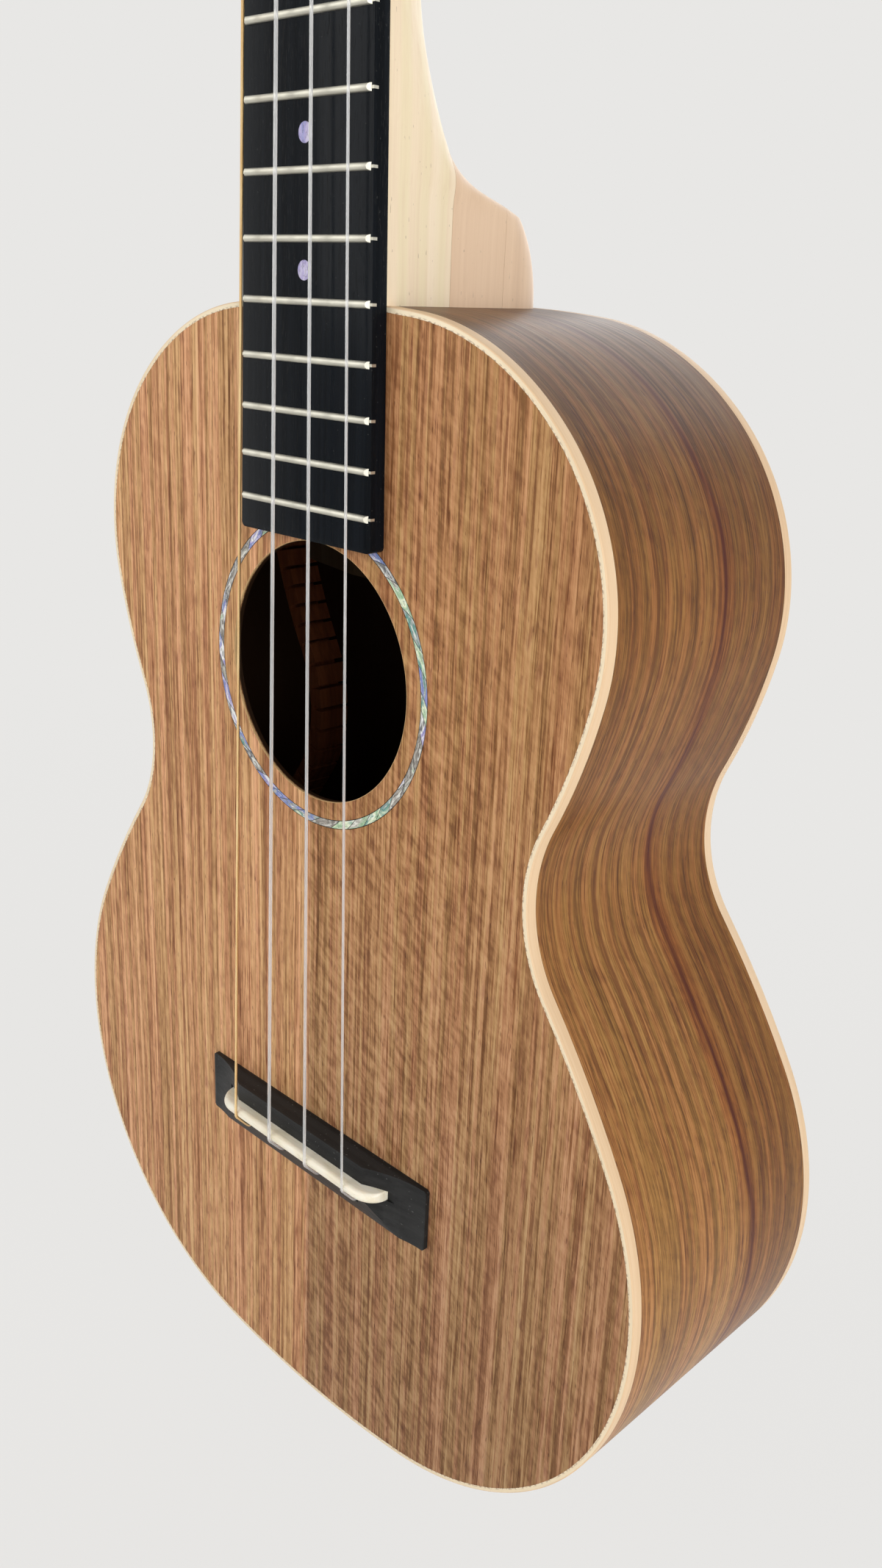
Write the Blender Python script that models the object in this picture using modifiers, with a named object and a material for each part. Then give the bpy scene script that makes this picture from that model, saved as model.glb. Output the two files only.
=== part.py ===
"""Tenor ukulele, modelled in metres with +Z up the neck and the soundboard facing -Y.

+X is the treble side. The origin lies on the centre line, in the plane of the soundboard's face,
at the height where a hanger's fork carries the flare of the head.
"""
import math

import bmesh
import bpy
from mathutils import Matrix, Vector
from mathutils.geometry import interpolate_bezier

# Fit
GAP = 0.0003                # between pieces that touch
CUTTER_REACH = 0.05         # how far a cutter runs past what it cuts
SMOOTH_ANGLE = math.radians(35)
ARC_STEP = math.radians(6.5)    # longest step along a round stretch of the outline
LINING_STEP = math.radians(9)
SIDES = (("bass", -1), ("treble", 1))

# Scale and neck
SCALE = 0.432               # nut to saddle, without compensation
HANGER_DROP = 0.018         # hanger line down to the front of the nut
JOIN_FRET = 12
FRET_COUNT = 16
NUT_WIDTH = 0.0350
BOARD_WIDTH_AT_JOIN = 0.0442
BOARD_THICKNESS = 0.0038
BOARD_PAST_LAST_FRET = 0.0076
BOARD_CORNER = 0.0030
FRET_SLOT_WIDTH = 0.0010
FRET_SLOT_DEPTH = 0.0017
FRET_CROWN_WIDTH = 0.0021
FRET_CROWN_HEIGHT = 0.0009
FRET_TANG_WIDTH = 0.0004
FRET_TANG_DEPTH = 0.0014
FRET_END_SLOPE = 0.7        # how far the crown's ends lean in for each metre of height
NECK_DEPTH_AT_NUT = 0.0155
NECK_DEPTH_AT_HEEL = 0.0200
HEEL_TIP_STOP = 0.0014      # the heel's tip ends this far above the back's outer edge
HEEL_LENGTH = 0.0620        # along the neck, from the body to where the flare begins
HEEL_TIP_WIDTH = 0.0264
HEEL_TIP_RUN = 0.0085
HEEL_SQUARENESS = 16        # added to the section's power at the tip
LOBE_RISE = 0.0204          # above the body join
LOBE_DROP = 0.0082          # from the tip's depth
LOBE_HANDLES = ((-0.0045, 0.0050), (0.0040, -0.0110))
THROAT_RISE = 0.0310
THROAT_DEPTH = 0.0086       # beyond the neck's own depth
THROAT_HANDLES = ((-0.0071, 0.0060), (0.0079, -0.0048))
NECK_RUN = 0.0100           # straight stretch of the curve where the neck takes over
NECK_BLANK = 0.0220         # thickness of the neck's own timber, above the heel blocks
HEEL_BLOCK = 0.0200         # thickness of the upper heel block

# Head, in its own tilted frame
HEAD_TILT = math.radians(12)
HEAD_THICKNESS = 0.0130
HEAD_LENGTH = 0.1260
HEAD_WIDTH = 0.0620
HEAD_TOP_WIDTH = 0.0560
HEAD_FLARE_END = 0.0270
HEAD_CROWN = 0.0070
HEAD_CROWN_SHARES = (0.7, 0.3)
HEAD_NECK_RUN = 0.0100      # handles of the curves up the side of the head
HEAD_FLARE_RUN = 0.0150
HEAD_WAIST_RUNS = (0.0330, 0.0400)
NUT_THICKNESS = 0.0050
NUT_HEIGHT = 0.0066

# Body
OUTLINE_ARCS = (            # radius, turn in degrees, from the tail round to the shoulder
    (0.2540, 8.5), (0.0860, 109.2), (0.2600, 9.0), (-0.0381, -62.2),
    (0.1482, 12.2), (0.0572, 56.6), (0.0669, 40.8),
)
BODY_RISE = 0.0008          # top of the body above the join fret
DEPTH_AT_NECK = 0.0644
DEPTH_TAPER = 0.0513        # growth of the depth for each metre towards the tail
SOUNDBOARD_THICKNESS = 0.0020
BACK_THICKNESS = 0.0022
SIDE_THICKNESS = 0.0020
BINDING_WIDTH = 0.0013
BINDING_HEIGHT = 0.0030
SOUNDHOLE_RADIUS = 0.0321
SOUNDHOLE_SIDES = 40
SOUNDHOLE_DROP = 0.0852     # below the body join
ROSETTE_RADIUS = 0.0378
ROSETTE_WIDTH = 0.0020
ROSETTE_DEPTH = 0.0010
ROSETTE_SIDES = 45
ROSETTE_PHASE = 0.37        # share of a side, so that its corners miss the hole's
LINING_WIDTH = 0.0050
LINING_HEIGHT = 0.0110
NECK_BLOCK_WIDTH = 0.0600
NECK_BLOCK_LENGTH = 0.0220
TAIL_BLOCK_WIDTH = 0.0560
TAIL_BLOCK_LENGTH = 0.0140

# Braces
BRACE_WIDTH = 0.0070
BRACE_HEIGHT = 0.0090
BRACE_TOE = 0.0030
BRACE_RAMP_SHARE = 0.35     # of the half length, where the ends slope down
TOP_BRACE_DROPS = {"top_brace_upper": 0.0405, "top_brace_lower": 0.1265}
BACK_BRACE_DROPS = {"back_brace_upper": 0.0720, "back_brace_lower": 0.1930}
FAN_WIDTH = 0.0050
FAN_HEIGHT = 0.0060
FAN_TOP_DROP = 0.1345
FAN_LENGTH = 0.1400
FAN_SPACING = 0.0150
FAN_SPLAY = math.radians(4)
FAN_RAMP_SHARE = 0.3

# Bridge and saddle
SADDLE_COMPENSATION = 0.0002
BRIDGE_OFFSET = 0.0020      # sideways, towards the treble
BRIDGE_LENGTH = 0.0890
BRIDGE_WIDTH = 0.0181
BRIDGE_HEIGHT = 0.0061
BRIDGE_BACK_HEIGHT = 0.0020
BRIDGE_TIP_HEIGHT = 0.0010
BRIDGE_MIDDLE = 0.0520
BRIDGE_WING_POWER = 1.9     # above 1, the wings are hollow
BRIDGE_WING_STEPS = 7
BRIDGE_AHEAD = 0.0066       # neck side edge of the bridge ahead of the saddle's centre
SADDLE_LENGTH = 0.0645
SADDLE_THICKNESS = 0.0030
SADDLE_TOP = 0.0098
SADDLE_SEAT = 0.0028
SADDLE_SHOULDER = 0.0048    # height of the ends
SADDLE_END_FALL = 0.0065    # length of each rounded end
SADDLE_SLOT_EXTRA = 0.0018
BRIDGE_PLATE_LENGTH = 0.0620
BRIDGE_PLATE_WIDTH = 0.0200
BRIDGE_PLATE_THICKNESS = 0.0022
STRING_HOLE_BEHIND = 0.0058
STRING_HOLE_RADIUS = 0.0009
STRING_HOLE_SIDES = 8
STRING_EXIT_RISE = 0.0007   # string's centre above the bridge where it leaves its hole

# Strings, fourth (bass) to first (treble)
STRING_DIAMETERS = (0.00075, 0.00090, 0.00080, 0.00065)
STRING_SPACING_SADDLE = 0.0150
STRING_SPACING_NUT = 0.0091
STRING_OFFSET_NUT = -0.0012
STRING_HEIGHT_NUT = 0.0058
KNOT_RADIUS = 0.0012
KNOT_END_SHARE = 0.4
WINDING_TURNS = 2
WINDING_POINTS = 24
WINDING_GAP = 0.00055

# Tuners, in the head's frame
POST_X = 0.0190
POST_HEIGHTS = (0.0400, 0.0790)
POST_RADIUS = 0.0029
POST_WAIST_RADIUS = 0.0025
POST_RISE = 0.0105
POST_WAIST_START = 0.0032
POST_WAIST_END = 0.0089
POST_EDGE = 0.0004
POST_SIDES = 14
POST_HOLE_SIDES = 16
STRING_ANCHOR_RISE = 0.0080
ANCHOR_HOLE_RADIUS = 0.0009
ANCHOR_END = 0.00075        # from the post's axis to the string's end
GEAR_TEETH = 14
GEAR_MODULE = 0.00065
GEAR_THICKNESS = 0.0026
GEAR_TOOTH_WIDTH = 0.0007
GEAR_ROOT = 1.15            # in modules, below and above the pitch circle
GEAR_TIP = 0.8
GEAR_ROOT_SHARE = 1.5       # of the tooth's width, at its root and at its tip
GEAR_TIP_SHARE = 0.6
GEAR_HUB_RADIUS = 0.0036
POST_TAIL = 0.0008          # end of the post behind its gear
WORM_PITCH_RADIUS = 0.0022
WORM_THREAD_RADIUS = 0.00055
WORM_THREAD_CENTRE = 0.00175
WORM_TURNS = 2.6
WORM_POINTS = 10            # for each turn of the thread
WORM_SHAFT_RADIUS = 0.00135
WORM_SHAFT_SIDES = 12
WORM_SHAFT_END = 0.0010     # past the inner ear
WORM_SHAFT_SEAT = 0.0020    # inside the button
PLATE_THICKNESS = 0.0010
PLATE_WIDTH = 0.0140
PLATE_BELOW = 0.0105
PLATE_ABOVE = 0.0060
EAR_THICKNESS = 0.0012
EAR_SPACING = 0.0100
EAR_REACH = 0.0016          # metal round the shaft
BUTTON_LENGTH = 0.0120
BUTTON_WIDTH = 0.0150
BUTTON_DEPTH = 0.0080
BUTTON_STAND_OFF = 0.0030
BUTTON_SIDES = 14
BUTTON_RINGS = 7

# Worked out from the sizes above
HEEL_DEPTH = DEPTH_AT_NECK - HEEL_TIP_STOP
NUT_Z = -HANGER_DROP
JOIN_Z = NUT_Z - SCALE * (1 - 2 ** (-JOIN_FRET / 12))
LAST_FRET_Z = NUT_Z - SCALE * (1 - 2 ** (-FRET_COUNT / 12))
BOARD_END_Z = LAST_FRET_Z - BOARD_PAST_LAST_FRET
SADDLE_Z = NUT_Z - SCALE - SADDLE_COMPENSATION
HOLE_Z = JOIN_Z - SOUNDHOLE_DROP
BOARD_UNDER_Y = -GAP
BOARD_TOP_Y = BOARD_UNDER_Y - BOARD_THICKNESS
INSIDE_Y = SOUNDBOARD_THICKNESS + GAP
LINING_INSET = SIDE_THICKNESS + GAP
INNER_INSET = LINING_INSET + LINING_WIDTH
STRING_HOLE_Z = SADDLE_Z - STRING_HOLE_BEHIND
BRIDGE_FRONT_Z = SADDLE_Z + BRIDGE_AHEAD
BRIDGE_BACK_Z = BRIDGE_FRONT_Z - BRIDGE_WIDTH
HEAD_ORIGIN = Vector((0, 0, NUT_Z + NUT_THICKNESS))
GEAR_PITCH_RADIUS = GEAR_MODULE * GEAR_TEETH / 2
WORM_PITCH = math.pi * GEAR_MODULE
WORM_DROP = GEAR_PITCH_RADIUS + WORM_PITCH_RADIUS
PLATE_FRONT_Y = HEAD_THICKNESS + GAP
HUB_FRONT_Y = PLATE_FRONT_Y + PLATE_THICKNESS + GAP
GEAR_MIDDLE_Y = HUB_FRONT_Y + WORM_THREAD_CENTRE + WORM_THREAD_RADIUS
GEAR_FRONT_Y = GEAR_MIDDLE_Y - GEAR_THICKNESS / 2

COLOURS = {                 # base colour, roughness, metallic
    "tonewood": ((0.44, 0.27, 0.15), 0.45, 0.0),
    "sidewood": ((0.30, 0.17, 0.09), 0.35, 0.0),
    "maple": ((0.80, 0.66, 0.46), 0.45, 0.0),
    "neckwood": ((0.76, 0.62, 0.42), 0.50, 0.0),
    "spruce": ((0.72, 0.56, 0.36), 0.60, 0.0),
    "ebony": ((0.025, 0.024, 0.026), 0.40, 0.0),
    "shell": ((0.35, 0.50, 0.48), 0.20, 0.0),
    "bone": ((0.86, 0.80, 0.66), 0.35, 0.0),
    "nickel": ((0.72, 0.70, 0.66), 0.25, 1.0),
    "clear": ((0.82, 0.80, 0.80), 0.15, 0.0),
    "gold_wire": ((0.80, 0.60, 0.28), 0.30, 1.0),
    "pearl": ((0.85, 0.84, 0.80), 0.25, 0.0),
}


def clear_scene():
    for item in list(bpy.data.objects):
        bpy.data.objects.remove(item, do_unlink=True)


def new_collection(name):
    collection = bpy.data.collections.new(name)
    bpy.context.scene.collection.children.link(collection)
    return collection


clear_scene()
PARTS = new_collection("Tenor ukulele")
CUTTERS = new_collection("Cutters")


def material(kind):
    name = "ukulele_" + kind
    found = bpy.data.materials.get(name)
    if found:
        return found
    colour, roughness, metallic = COLOURS[kind]
    made = bpy.data.materials.new(name)
    made.use_nodes = True
    shader = made.node_tree.nodes["Principled BSDF"]
    shader.inputs["Base Color"].default_value = (*colour, 1)
    shader.inputs["Roughness"].default_value = roughness
    shader.inputs["Metallic"].default_value = metallic
    made.diffuse_color = (*colour, 1)
    return made


def add_part(name, mesh, kind, smooth=False):
    part = bpy.data.objects.new(name, mesh)
    mesh.materials.clear()
    mesh.materials.append(material(kind))
    if smooth:
        mesh.shade_smooth()
        mesh.set_sharp_from_angle(angle=SMOOTH_ANGLE)
    PARTS.objects.link(part)
    return part


def add_cutter(name, mesh):
    cutter = bpy.data.objects.new(name, mesh)
    cutter.hide_render = True
    cutter.display_type = "WIRE"
    CUTTERS.objects.link(cutter)
    return cutter


def boolean(part, cutter, operation="DIFFERENCE"):
    step = part.modifiers.new(operation.lower() + "_" + cutter.name, "BOOLEAN")
    step.operation = operation
    step.object = cutter
    return step


def tidy(shape, name):
    """Weld a bmesh, turn its faces outward and store it as a mesh."""
    bmesh.ops.remove_doubles(shape, verts=shape.verts, dist=1e-6)
    bmesh.ops.recalc_face_normals(shape, faces=shape.faces)
    mesh = bpy.data.meshes.new(name)
    shape.to_mesh(mesh)
    shape.free()
    return mesh


def box_mesh(name, low, high):
    shape = bmesh.new()
    bmesh.ops.create_cube(shape, size=1)
    size = [b - a for a, b in zip(low, high)]
    centre = [(a + b) / 2 for a, b in zip(low, high)]
    shape.transform(Matrix.Translation(centre) @ Matrix.Diagonal((*size, 1)))
    return tidy(shape, name)


def cylinder_mesh(name, start, end, radius, sides):
    start, end = Vector(start), Vector(end)
    along = end - start
    shape = bmesh.new()
    bmesh.ops.create_cone(shape, cap_ends=True, segments=sides, radius1=radius,
                          radius2=radius, depth=along.length)
    turn = along.to_track_quat("Z", "Y").to_matrix().to_4x4()
    shape.transform(Matrix.Translation((start + end) / 2) @ turn)
    return tidy(shape, name)


def curve_to_mesh(curve, name):
    """Read a curve as a mesh, weld its caps and remove the curve."""
    holder = bpy.data.objects.new(name + "_curve", curve)
    PARTS.objects.link(holder)
    bpy.context.view_layer.update()
    graph = bpy.context.evaluated_depsgraph_get()
    mesh = bpy.data.meshes.new_from_object(holder.evaluated_get(graph))
    bpy.data.objects.remove(holder, do_unlink=True)
    bpy.data.curves.remove(curve)
    shape = bmesh.new()
    shape.from_mesh(mesh)
    bpy.data.meshes.remove(mesh)
    return tidy(shape, name)


def flat_mesh(name, loops, low, high, plane="XZ"):
    """Extrude closed outlines, the first one outside, between two depths.

    In plane XZ the outline is (x, z) and the depth runs along Y. In plane XY it is (x, y) and the
    depth runs along Z. In plane YZ it is (y, z) and the depth runs along X.
    """
    curve = bpy.data.curves.new(name, "CURVE")
    curve.dimensions = "2D"
    curve.fill_mode = "BOTH"
    curve.resolution_u = 1
    curve.render_resolution_u = 0
    curve.extrude = (high - low) / 2
    for loop in loops:
        spline = curve.splines.new("POLY")
        spline.points.add(len(loop) - 1)
        for point, (u, v) in zip(spline.points, loop):
            point.co = (u, v, 0, 1)
        spline.use_cyclic_u = True
    mesh = curve_to_mesh(curve, name)
    middle = (low + high) / 2
    frames = {
        "XZ": Matrix(((1, 0, 0, 0), (0, 0, 1, middle), (0, 1, 0, 0), (0, 0, 0, 1))),
        "XY": Matrix(((1, 0, 0, 0), (0, 1, 0, 0), (0, 0, 1, middle), (0, 0, 0, 1))),
        "YZ": Matrix(((0, 0, 1, middle), (1, 0, 0, 0), (0, 1, 0, 0), (0, 0, 0, 1))),
    }
    shape = bmesh.new()
    shape.from_mesh(mesh)
    bpy.data.meshes.remove(mesh)
    shape.transform(frames[plane])
    return tidy(shape, name)


def turned_part(name, profile, sides, kind):
    """Turn a (radius, height) profile, listed from the top down, round Z with a Screw modifier."""
    mesh = bpy.data.meshes.new(name)
    edges = [(i, i + 1) for i in range(len(profile) - 1)]
    mesh.from_pydata([(r, 0, h) for r, h in profile], edges, [])
    part = add_part(name, mesh, kind, smooth=True)
    turn = part.modifiers.new("turn", "SCREW")
    turn.steps = sides
    turn.render_steps = sides
    turn.use_merge_vertices = True
    turn.merge_threshold = 1e-6
    return part


def tube_mesh(name, points, radius, sides_step, radii=None):
    """A tube with closed ends along a list of points."""
    curve = bpy.data.curves.new(name, "CURVE")
    curve.dimensions = "3D"
    curve.bevel_depth = radius
    curve.bevel_resolution = sides_step
    curve.use_fill_caps = True
    curve.resolution_u = 1
    curve.render_resolution_u = 0
    spline = curve.splines.new("POLY")
    spline.points.add(len(points) - 1)
    for i, (point, place) in enumerate(zip(spline.points, points)):
        point.co = (*place, 1)
        point.radius = radii[i] if radii else 1
    return curve_to_mesh(curve, name)


def fret_z(number):
    return NUT_Z - SCALE * (1 - 2 ** (-number / 12))


def board_half_width(z):
    slope = (BOARD_WIDTH_AT_JOIN - NUT_WIDTH) / (NUT_Z - JOIN_Z)
    return (NUT_WIDTH + slope * (NUT_Z - z)) / 2


def half_outline(inset, step=ARC_STEP):
    """Points (x, z) of the treble half of the body, from the tail to the neck."""
    x, z, heading = 0.0, inset, 0.0
    points = [(x, z)]
    arcs = [(radius - inset, math.radians(turn)) for radius, turn in OUTLINE_ARCS]
    for radius, turn in arcs:
        x, z, heading = follow_arc(points, x, z, heading, radius, turn, step)
    closing = math.pi - heading
    follow_arc(points, x, z, heading, x / math.sin(heading), closing, step)
    points[-1] = (0.0, points[-1][1])
    drop = JOIN_Z + BODY_RISE - body_length()
    return [(px, pz + drop) for px, pz in points]


def follow_arc(points, x, z, heading, radius, turn, step=ARC_STEP):
    steps = max(1, math.ceil(abs(turn) / step))
    centre_x = x - radius * math.sin(heading)
    centre_z = z + radius * math.cos(heading)
    for i in range(1, steps + 1):
        angle = heading + turn * i / steps
        points.append((centre_x + radius * math.sin(angle), centre_z - radius * math.cos(angle)))
    return points[-1][0], points[-1][1], heading + turn


def body_length():
    x, z, heading = 0.0, 0.0, 0.0
    for radius, turn in OUTLINE_ARCS:
        x, z, heading = follow_arc([], x, z, heading, radius, math.radians(turn))
    return z + x / math.sin(heading) * (math.cos(heading) + 1)


def full_outline(inset):
    right = half_outline(inset)
    left = [(-x, z) for x, z in reversed(right[1:-1])]
    return right + left


def clip_chain(chain, x_min):
    """The stretch of a half outline that lies beyond x_min, ending on it."""
    kept = []
    for (xa, za), (xb, zb) in zip(chain, chain[1:]):
        inside_a, inside_b = xa > x_min, xb > x_min
        if inside_a != inside_b:
            share = (x_min - xa) / (xb - xa)
            kept.append((x_min, za + (zb - za) * share))
        if inside_b:
            kept.append((xb, zb))
    return kept


def half_width_at(z, inset):
    """Half width of the body at one height."""
    chain = half_outline(inset)
    widths = []
    for (xa, za), (xb, zb) in zip(chain, chain[1:]):
        if min(za, zb) <= z <= max(za, zb) and za != zb:
            widths.append(xa + (xb - xa) * (z - za) / (zb - za))
    return max(widths)


def back_y(z):
    """Outer face of the back at one height."""
    return DEPTH_AT_NECK + DEPTH_TAPER * (JOIN_Z - z)


def slope_back(mesh, deeper_than):
    """Slide every point deeper than a limit so that it follows the slope of the back."""
    for vertex in mesh.vertices:
        if vertex.co.y > deeper_than:
            vertex.co.y += DEPTH_TAPER * (JOIN_Z - vertex.co.z)
    return mesh


def circle(radius, sides, centre_z=0.0, phase=0.0):
    angles = [2 * math.pi * (i + phase) / sides for i in range(sides)]
    return [(radius * math.cos(a), centre_z + radius * math.sin(a)) for a in angles]


def mirrored(loop, side):
    return loop if side > 0 else [(-x, z) for x, z in reversed(loop)]


def string_x_saddle(index):
    return BRIDGE_OFFSET + (index - 1.5) * STRING_SPACING_SADDLE


def string_x_nut(index):
    return STRING_OFFSET_NUT + (index - 1.5) * STRING_SPACING_NUT


def drill_string_holes(part, name, low_y, high_y):
    for index in range(4):
        x = string_x_saddle(index)
        mesh = cylinder_mesh(f"{name}_{index}", (x, low_y, STRING_HOLE_Z),
                             (x, high_y, STRING_HOLE_Z), STRING_HOLE_RADIUS, STRING_HOLE_SIDES)
        boolean(part, add_cutter(f"{name}_{index}", mesh))


def rosette_rings(half_width):
    return [circle(ROSETTE_RADIUS + offset, ROSETTE_SIDES, HOLE_Z, ROSETTE_PHASE)
            for offset in (half_width, -half_width)]


def make_soundboard():
    outer = full_outline(BINDING_WIDTH + GAP)
    hole = circle(SOUNDHOLE_RADIUS, SOUNDHOLE_SIDES, HOLE_Z)
    mesh = flat_mesh("soundboard", [outer, hole], 0, SOUNDBOARD_THICKNESS)
    board = add_part("soundboard", mesh, "tonewood")
    half = ROSETTE_WIDTH / 2 + GAP
    groove = flat_mesh("rosette_groove", rosette_rings(half), -SOUNDBOARD_THICKNESS, ROSETTE_DEPTH + GAP)
    boolean(board, add_cutter("rosette_groove", groove))
    drill_string_holes(board, "soundboard_string_hole", -CUTTER_REACH, CUTTER_REACH)


def make_rosette():
    """The shell ring, open where the fingerboard's end crosses it."""
    rings = rosette_rings(ROSETTE_WIDTH / 2)
    ring = add_part("rosette", flat_mesh("rosette", rings, 0, ROSETTE_DEPTH), "shell")
    half_board = board_half_width(BOARD_END_Z) - BOARD_CORNER
    under = box_mesh("rosette_break", (-half_board, -CUTTER_REACH, HOLE_Z),
                     (half_board, CUTTER_REACH, HOLE_Z + 2 * ROSETTE_RADIUS))
    boolean(ring, add_cutter("rosette_break", under))


def make_back_plate():
    outer = full_outline(BINDING_WIDTH + GAP)
    mesh = flat_mesh("back_plate", [outer], DEPTH_AT_NECK - BACK_THICKNESS, DEPTH_AT_NECK)
    add_part("back_plate", slope_back(mesh, 0), "sidewood")


def make_bindings():
    loops = [full_outline(0), full_outline(BINDING_WIDTH)]
    add_part("top_binding", flat_mesh("top_binding", loops, 0, BINDING_HEIGHT), "maple")
    low = DEPTH_AT_NECK - BINDING_HEIGHT
    mesh = flat_mesh("back_binding", loops, low, DEPTH_AT_NECK)
    add_part("back_binding", slope_back(mesh, 0), "maple")


def strip(inset, width, x_min, side, step=ARC_STEP):
    outer = clip_chain(half_outline(inset, step), x_min)
    inner = clip_chain(half_outline(inset + width, step), x_min)
    return mirrored(outer + inner[::-1], side)


def make_sides():
    top = BINDING_HEIGHT + GAP
    bottom = DEPTH_AT_NECK - BINDING_HEIGHT - GAP
    for label, side in SIDES:
        loop = strip(0, SIDE_THICKNESS, GAP / 2, side)
        mesh = flat_mesh("side_" + label, [loop], top, bottom)
        add_part("side_" + label, slope_back(mesh, DEPTH_AT_NECK / 2), "sidewood", smooth=True)


def make_linings():
    edge = max(NECK_BLOCK_WIDTH, TAIL_BLOCK_WIDTH) / 2 + GAP
    floor = DEPTH_AT_NECK - BACK_THICKNESS - GAP
    levels = (("top_lining_", INSIDE_Y, INSIDE_Y + LINING_HEIGHT),
              ("back_lining_", floor - LINING_HEIGHT, floor))
    for prefix, low, high in levels:
        for label, side in SIDES:
            loop = strip(LINING_INSET, LINING_WIDTH, edge, side, LINING_STEP)
            mesh = flat_mesh(prefix + label, [loop], low, high)
            if prefix == "back_lining_":
                slope_back(mesh, 0)
            add_part(prefix + label, mesh, "spruce")


def end_chain(width, at_neck):
    """The inner wall between the two corners of a block, from treble to bass."""
    chain = half_outline(LINING_INSET)
    kept = [p for p in chain if p[0] < width / 2 and (p[1] > HOLE_Z) == at_neck]
    edge = half_edge(chain, width / 2, at_neck)
    right = [edge] + (kept if at_neck else kept[::-1])
    left = [(-x, z) for x, z in reversed(right) if x > 0]
    return right + left


def half_edge(chain, x, at_neck):
    ends = [p for p in clip_chain(chain, x) if abs(p[0] - x) < 1e-9]
    return ends[-1] if at_neck else ends[0]


def make_blocks():
    floor = DEPTH_AT_NECK - BACK_THICKNESS - GAP
    blocks = (("neck_block", NECK_BLOCK_WIDTH, NECK_BLOCK_LENGTH, True),
              ("tail_block", TAIL_BLOCK_WIDTH, TAIL_BLOCK_LENGTH, False))
    for name, width, length, at_neck in blocks:
        chain = end_chain(width, at_neck)
        heights = [z for _, z in chain]
        flat = max(heights) - length if at_neck else min(heights) + length
        loop = chain + [(-width / 2, flat), (width / 2, flat)]
        mesh = flat_mesh(name, [loop], INSIDE_Y, floor)
        add_part(name, slope_back(mesh, DEPTH_AT_NECK / 2), "spruce")


def brace_loop(half_length, height, base_y, into):
    """Side view (x, y) of a ladder brace with lowered ends."""
    toe = base_y + into * BRACE_TOE
    crest = base_y + into * height
    run = half_length * BRACE_RAMP_SHARE
    return [(-half_length, base_y), (half_length, base_y), (half_length, toe),
            (half_length - run, crest), (-half_length + run, crest), (-half_length, toe)]


def ladder_brace_mesh(name, drop, base_y, into):
    """A brace across the body, between the linings."""
    low, high = JOIN_Z - drop - BRACE_WIDTH / 2, JOIN_Z - drop + BRACE_WIDTH / 2
    reach = min(half_width_at(low, INNER_INSET), half_width_at(high, INNER_INSET)) - GAP
    return flat_mesh(name, [brace_loop(reach, BRACE_HEIGHT, base_y, into)], low, high, "XY")


def make_ladder_braces():
    for name, drop in TOP_BRACE_DROPS.items():
        add_part(name, ladder_brace_mesh(name, drop, INSIDE_Y, 1), "spruce")
    floor = DEPTH_AT_NECK - BACK_THICKNESS - GAP
    for name, drop in BACK_BRACE_DROPS.items():
        add_part(name, slope_back(ladder_brace_mesh(name, drop, floor, -1), 0), "spruce")


def make_fan_braces():
    """Three splayed bars under the lower bout, notched over the bridge plate."""
    for label, place in (("bass", -1), ("centre", 0), ("treble", 1)):
        loop = [(INSIDE_Y, -FAN_LENGTH), (INSIDE_Y, 0), (INSIDE_Y + BRACE_TOE / 2, 0),
                (INSIDE_Y + FAN_HEIGHT, -FAN_LENGTH * FAN_RAMP_SHARE),
                (INSIDE_Y + FAN_HEIGHT, -FAN_LENGTH * (1 - FAN_RAMP_SHARE)),
                (INSIDE_Y + BRACE_TOE / 2, -FAN_LENGTH)]
        name = "fan_brace_" + label
        mesh = flat_mesh(name, [loop], -FAN_WIDTH / 2, FAN_WIDTH / 2, "YZ")
        turn = Matrix.Rotation(-place * FAN_SPLAY, 4, "Y")
        middle_x = BRIDGE_OFFSET + place * FAN_SPACING
        top_x = middle_x - place * math.tan(FAN_SPLAY) * (JOIN_Z - FAN_TOP_DROP - SADDLE_Z)
        top = Matrix.Translation((top_x, 0, JOIN_Z - FAN_TOP_DROP))
        mesh.transform(top @ turn)
        brace = add_part(name, mesh, "spruce")
        boolean(brace, add_cutter("notch_" + label, bridge_plate_mesh("notch_" + label, GAP)))


def bridge_plate_mesh(name, grow):
    half_x = BRIDGE_PLATE_LENGTH / 2 + grow
    half_z = BRIDGE_PLATE_WIDTH / 2 + grow
    centre_z = (BRIDGE_FRONT_Z + BRIDGE_BACK_Z) / 2
    low = (BRIDGE_OFFSET - half_x, INSIDE_Y - grow, centre_z - half_z)
    high = (BRIDGE_OFFSET + half_x, INSIDE_Y + BRIDGE_PLATE_THICKNESS + grow, centre_z + half_z)
    return box_mesh(name, low, high)


def make_bridge_plate():
    plate = add_part("bridge_plate", bridge_plate_mesh("bridge_plate", 0), "maple")
    drill_string_holes(plate, "plate_string_hole", -CUTTER_REACH, CUTTER_REACH)


def bridge_top(x):
    """Height of the bridge at a distance from its middle."""
    beyond = abs(x) - BRIDGE_MIDDLE / 2
    if beyond <= 0:
        return BRIDGE_HEIGHT
    share = 1 - beyond / (BRIDGE_LENGTH / 2 - BRIDGE_MIDDLE / 2)
    return BRIDGE_TIP_HEIGHT + (BRIDGE_HEIGHT - BRIDGE_TIP_HEIGHT) * max(share, 0) ** BRIDGE_WING_POWER


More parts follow.
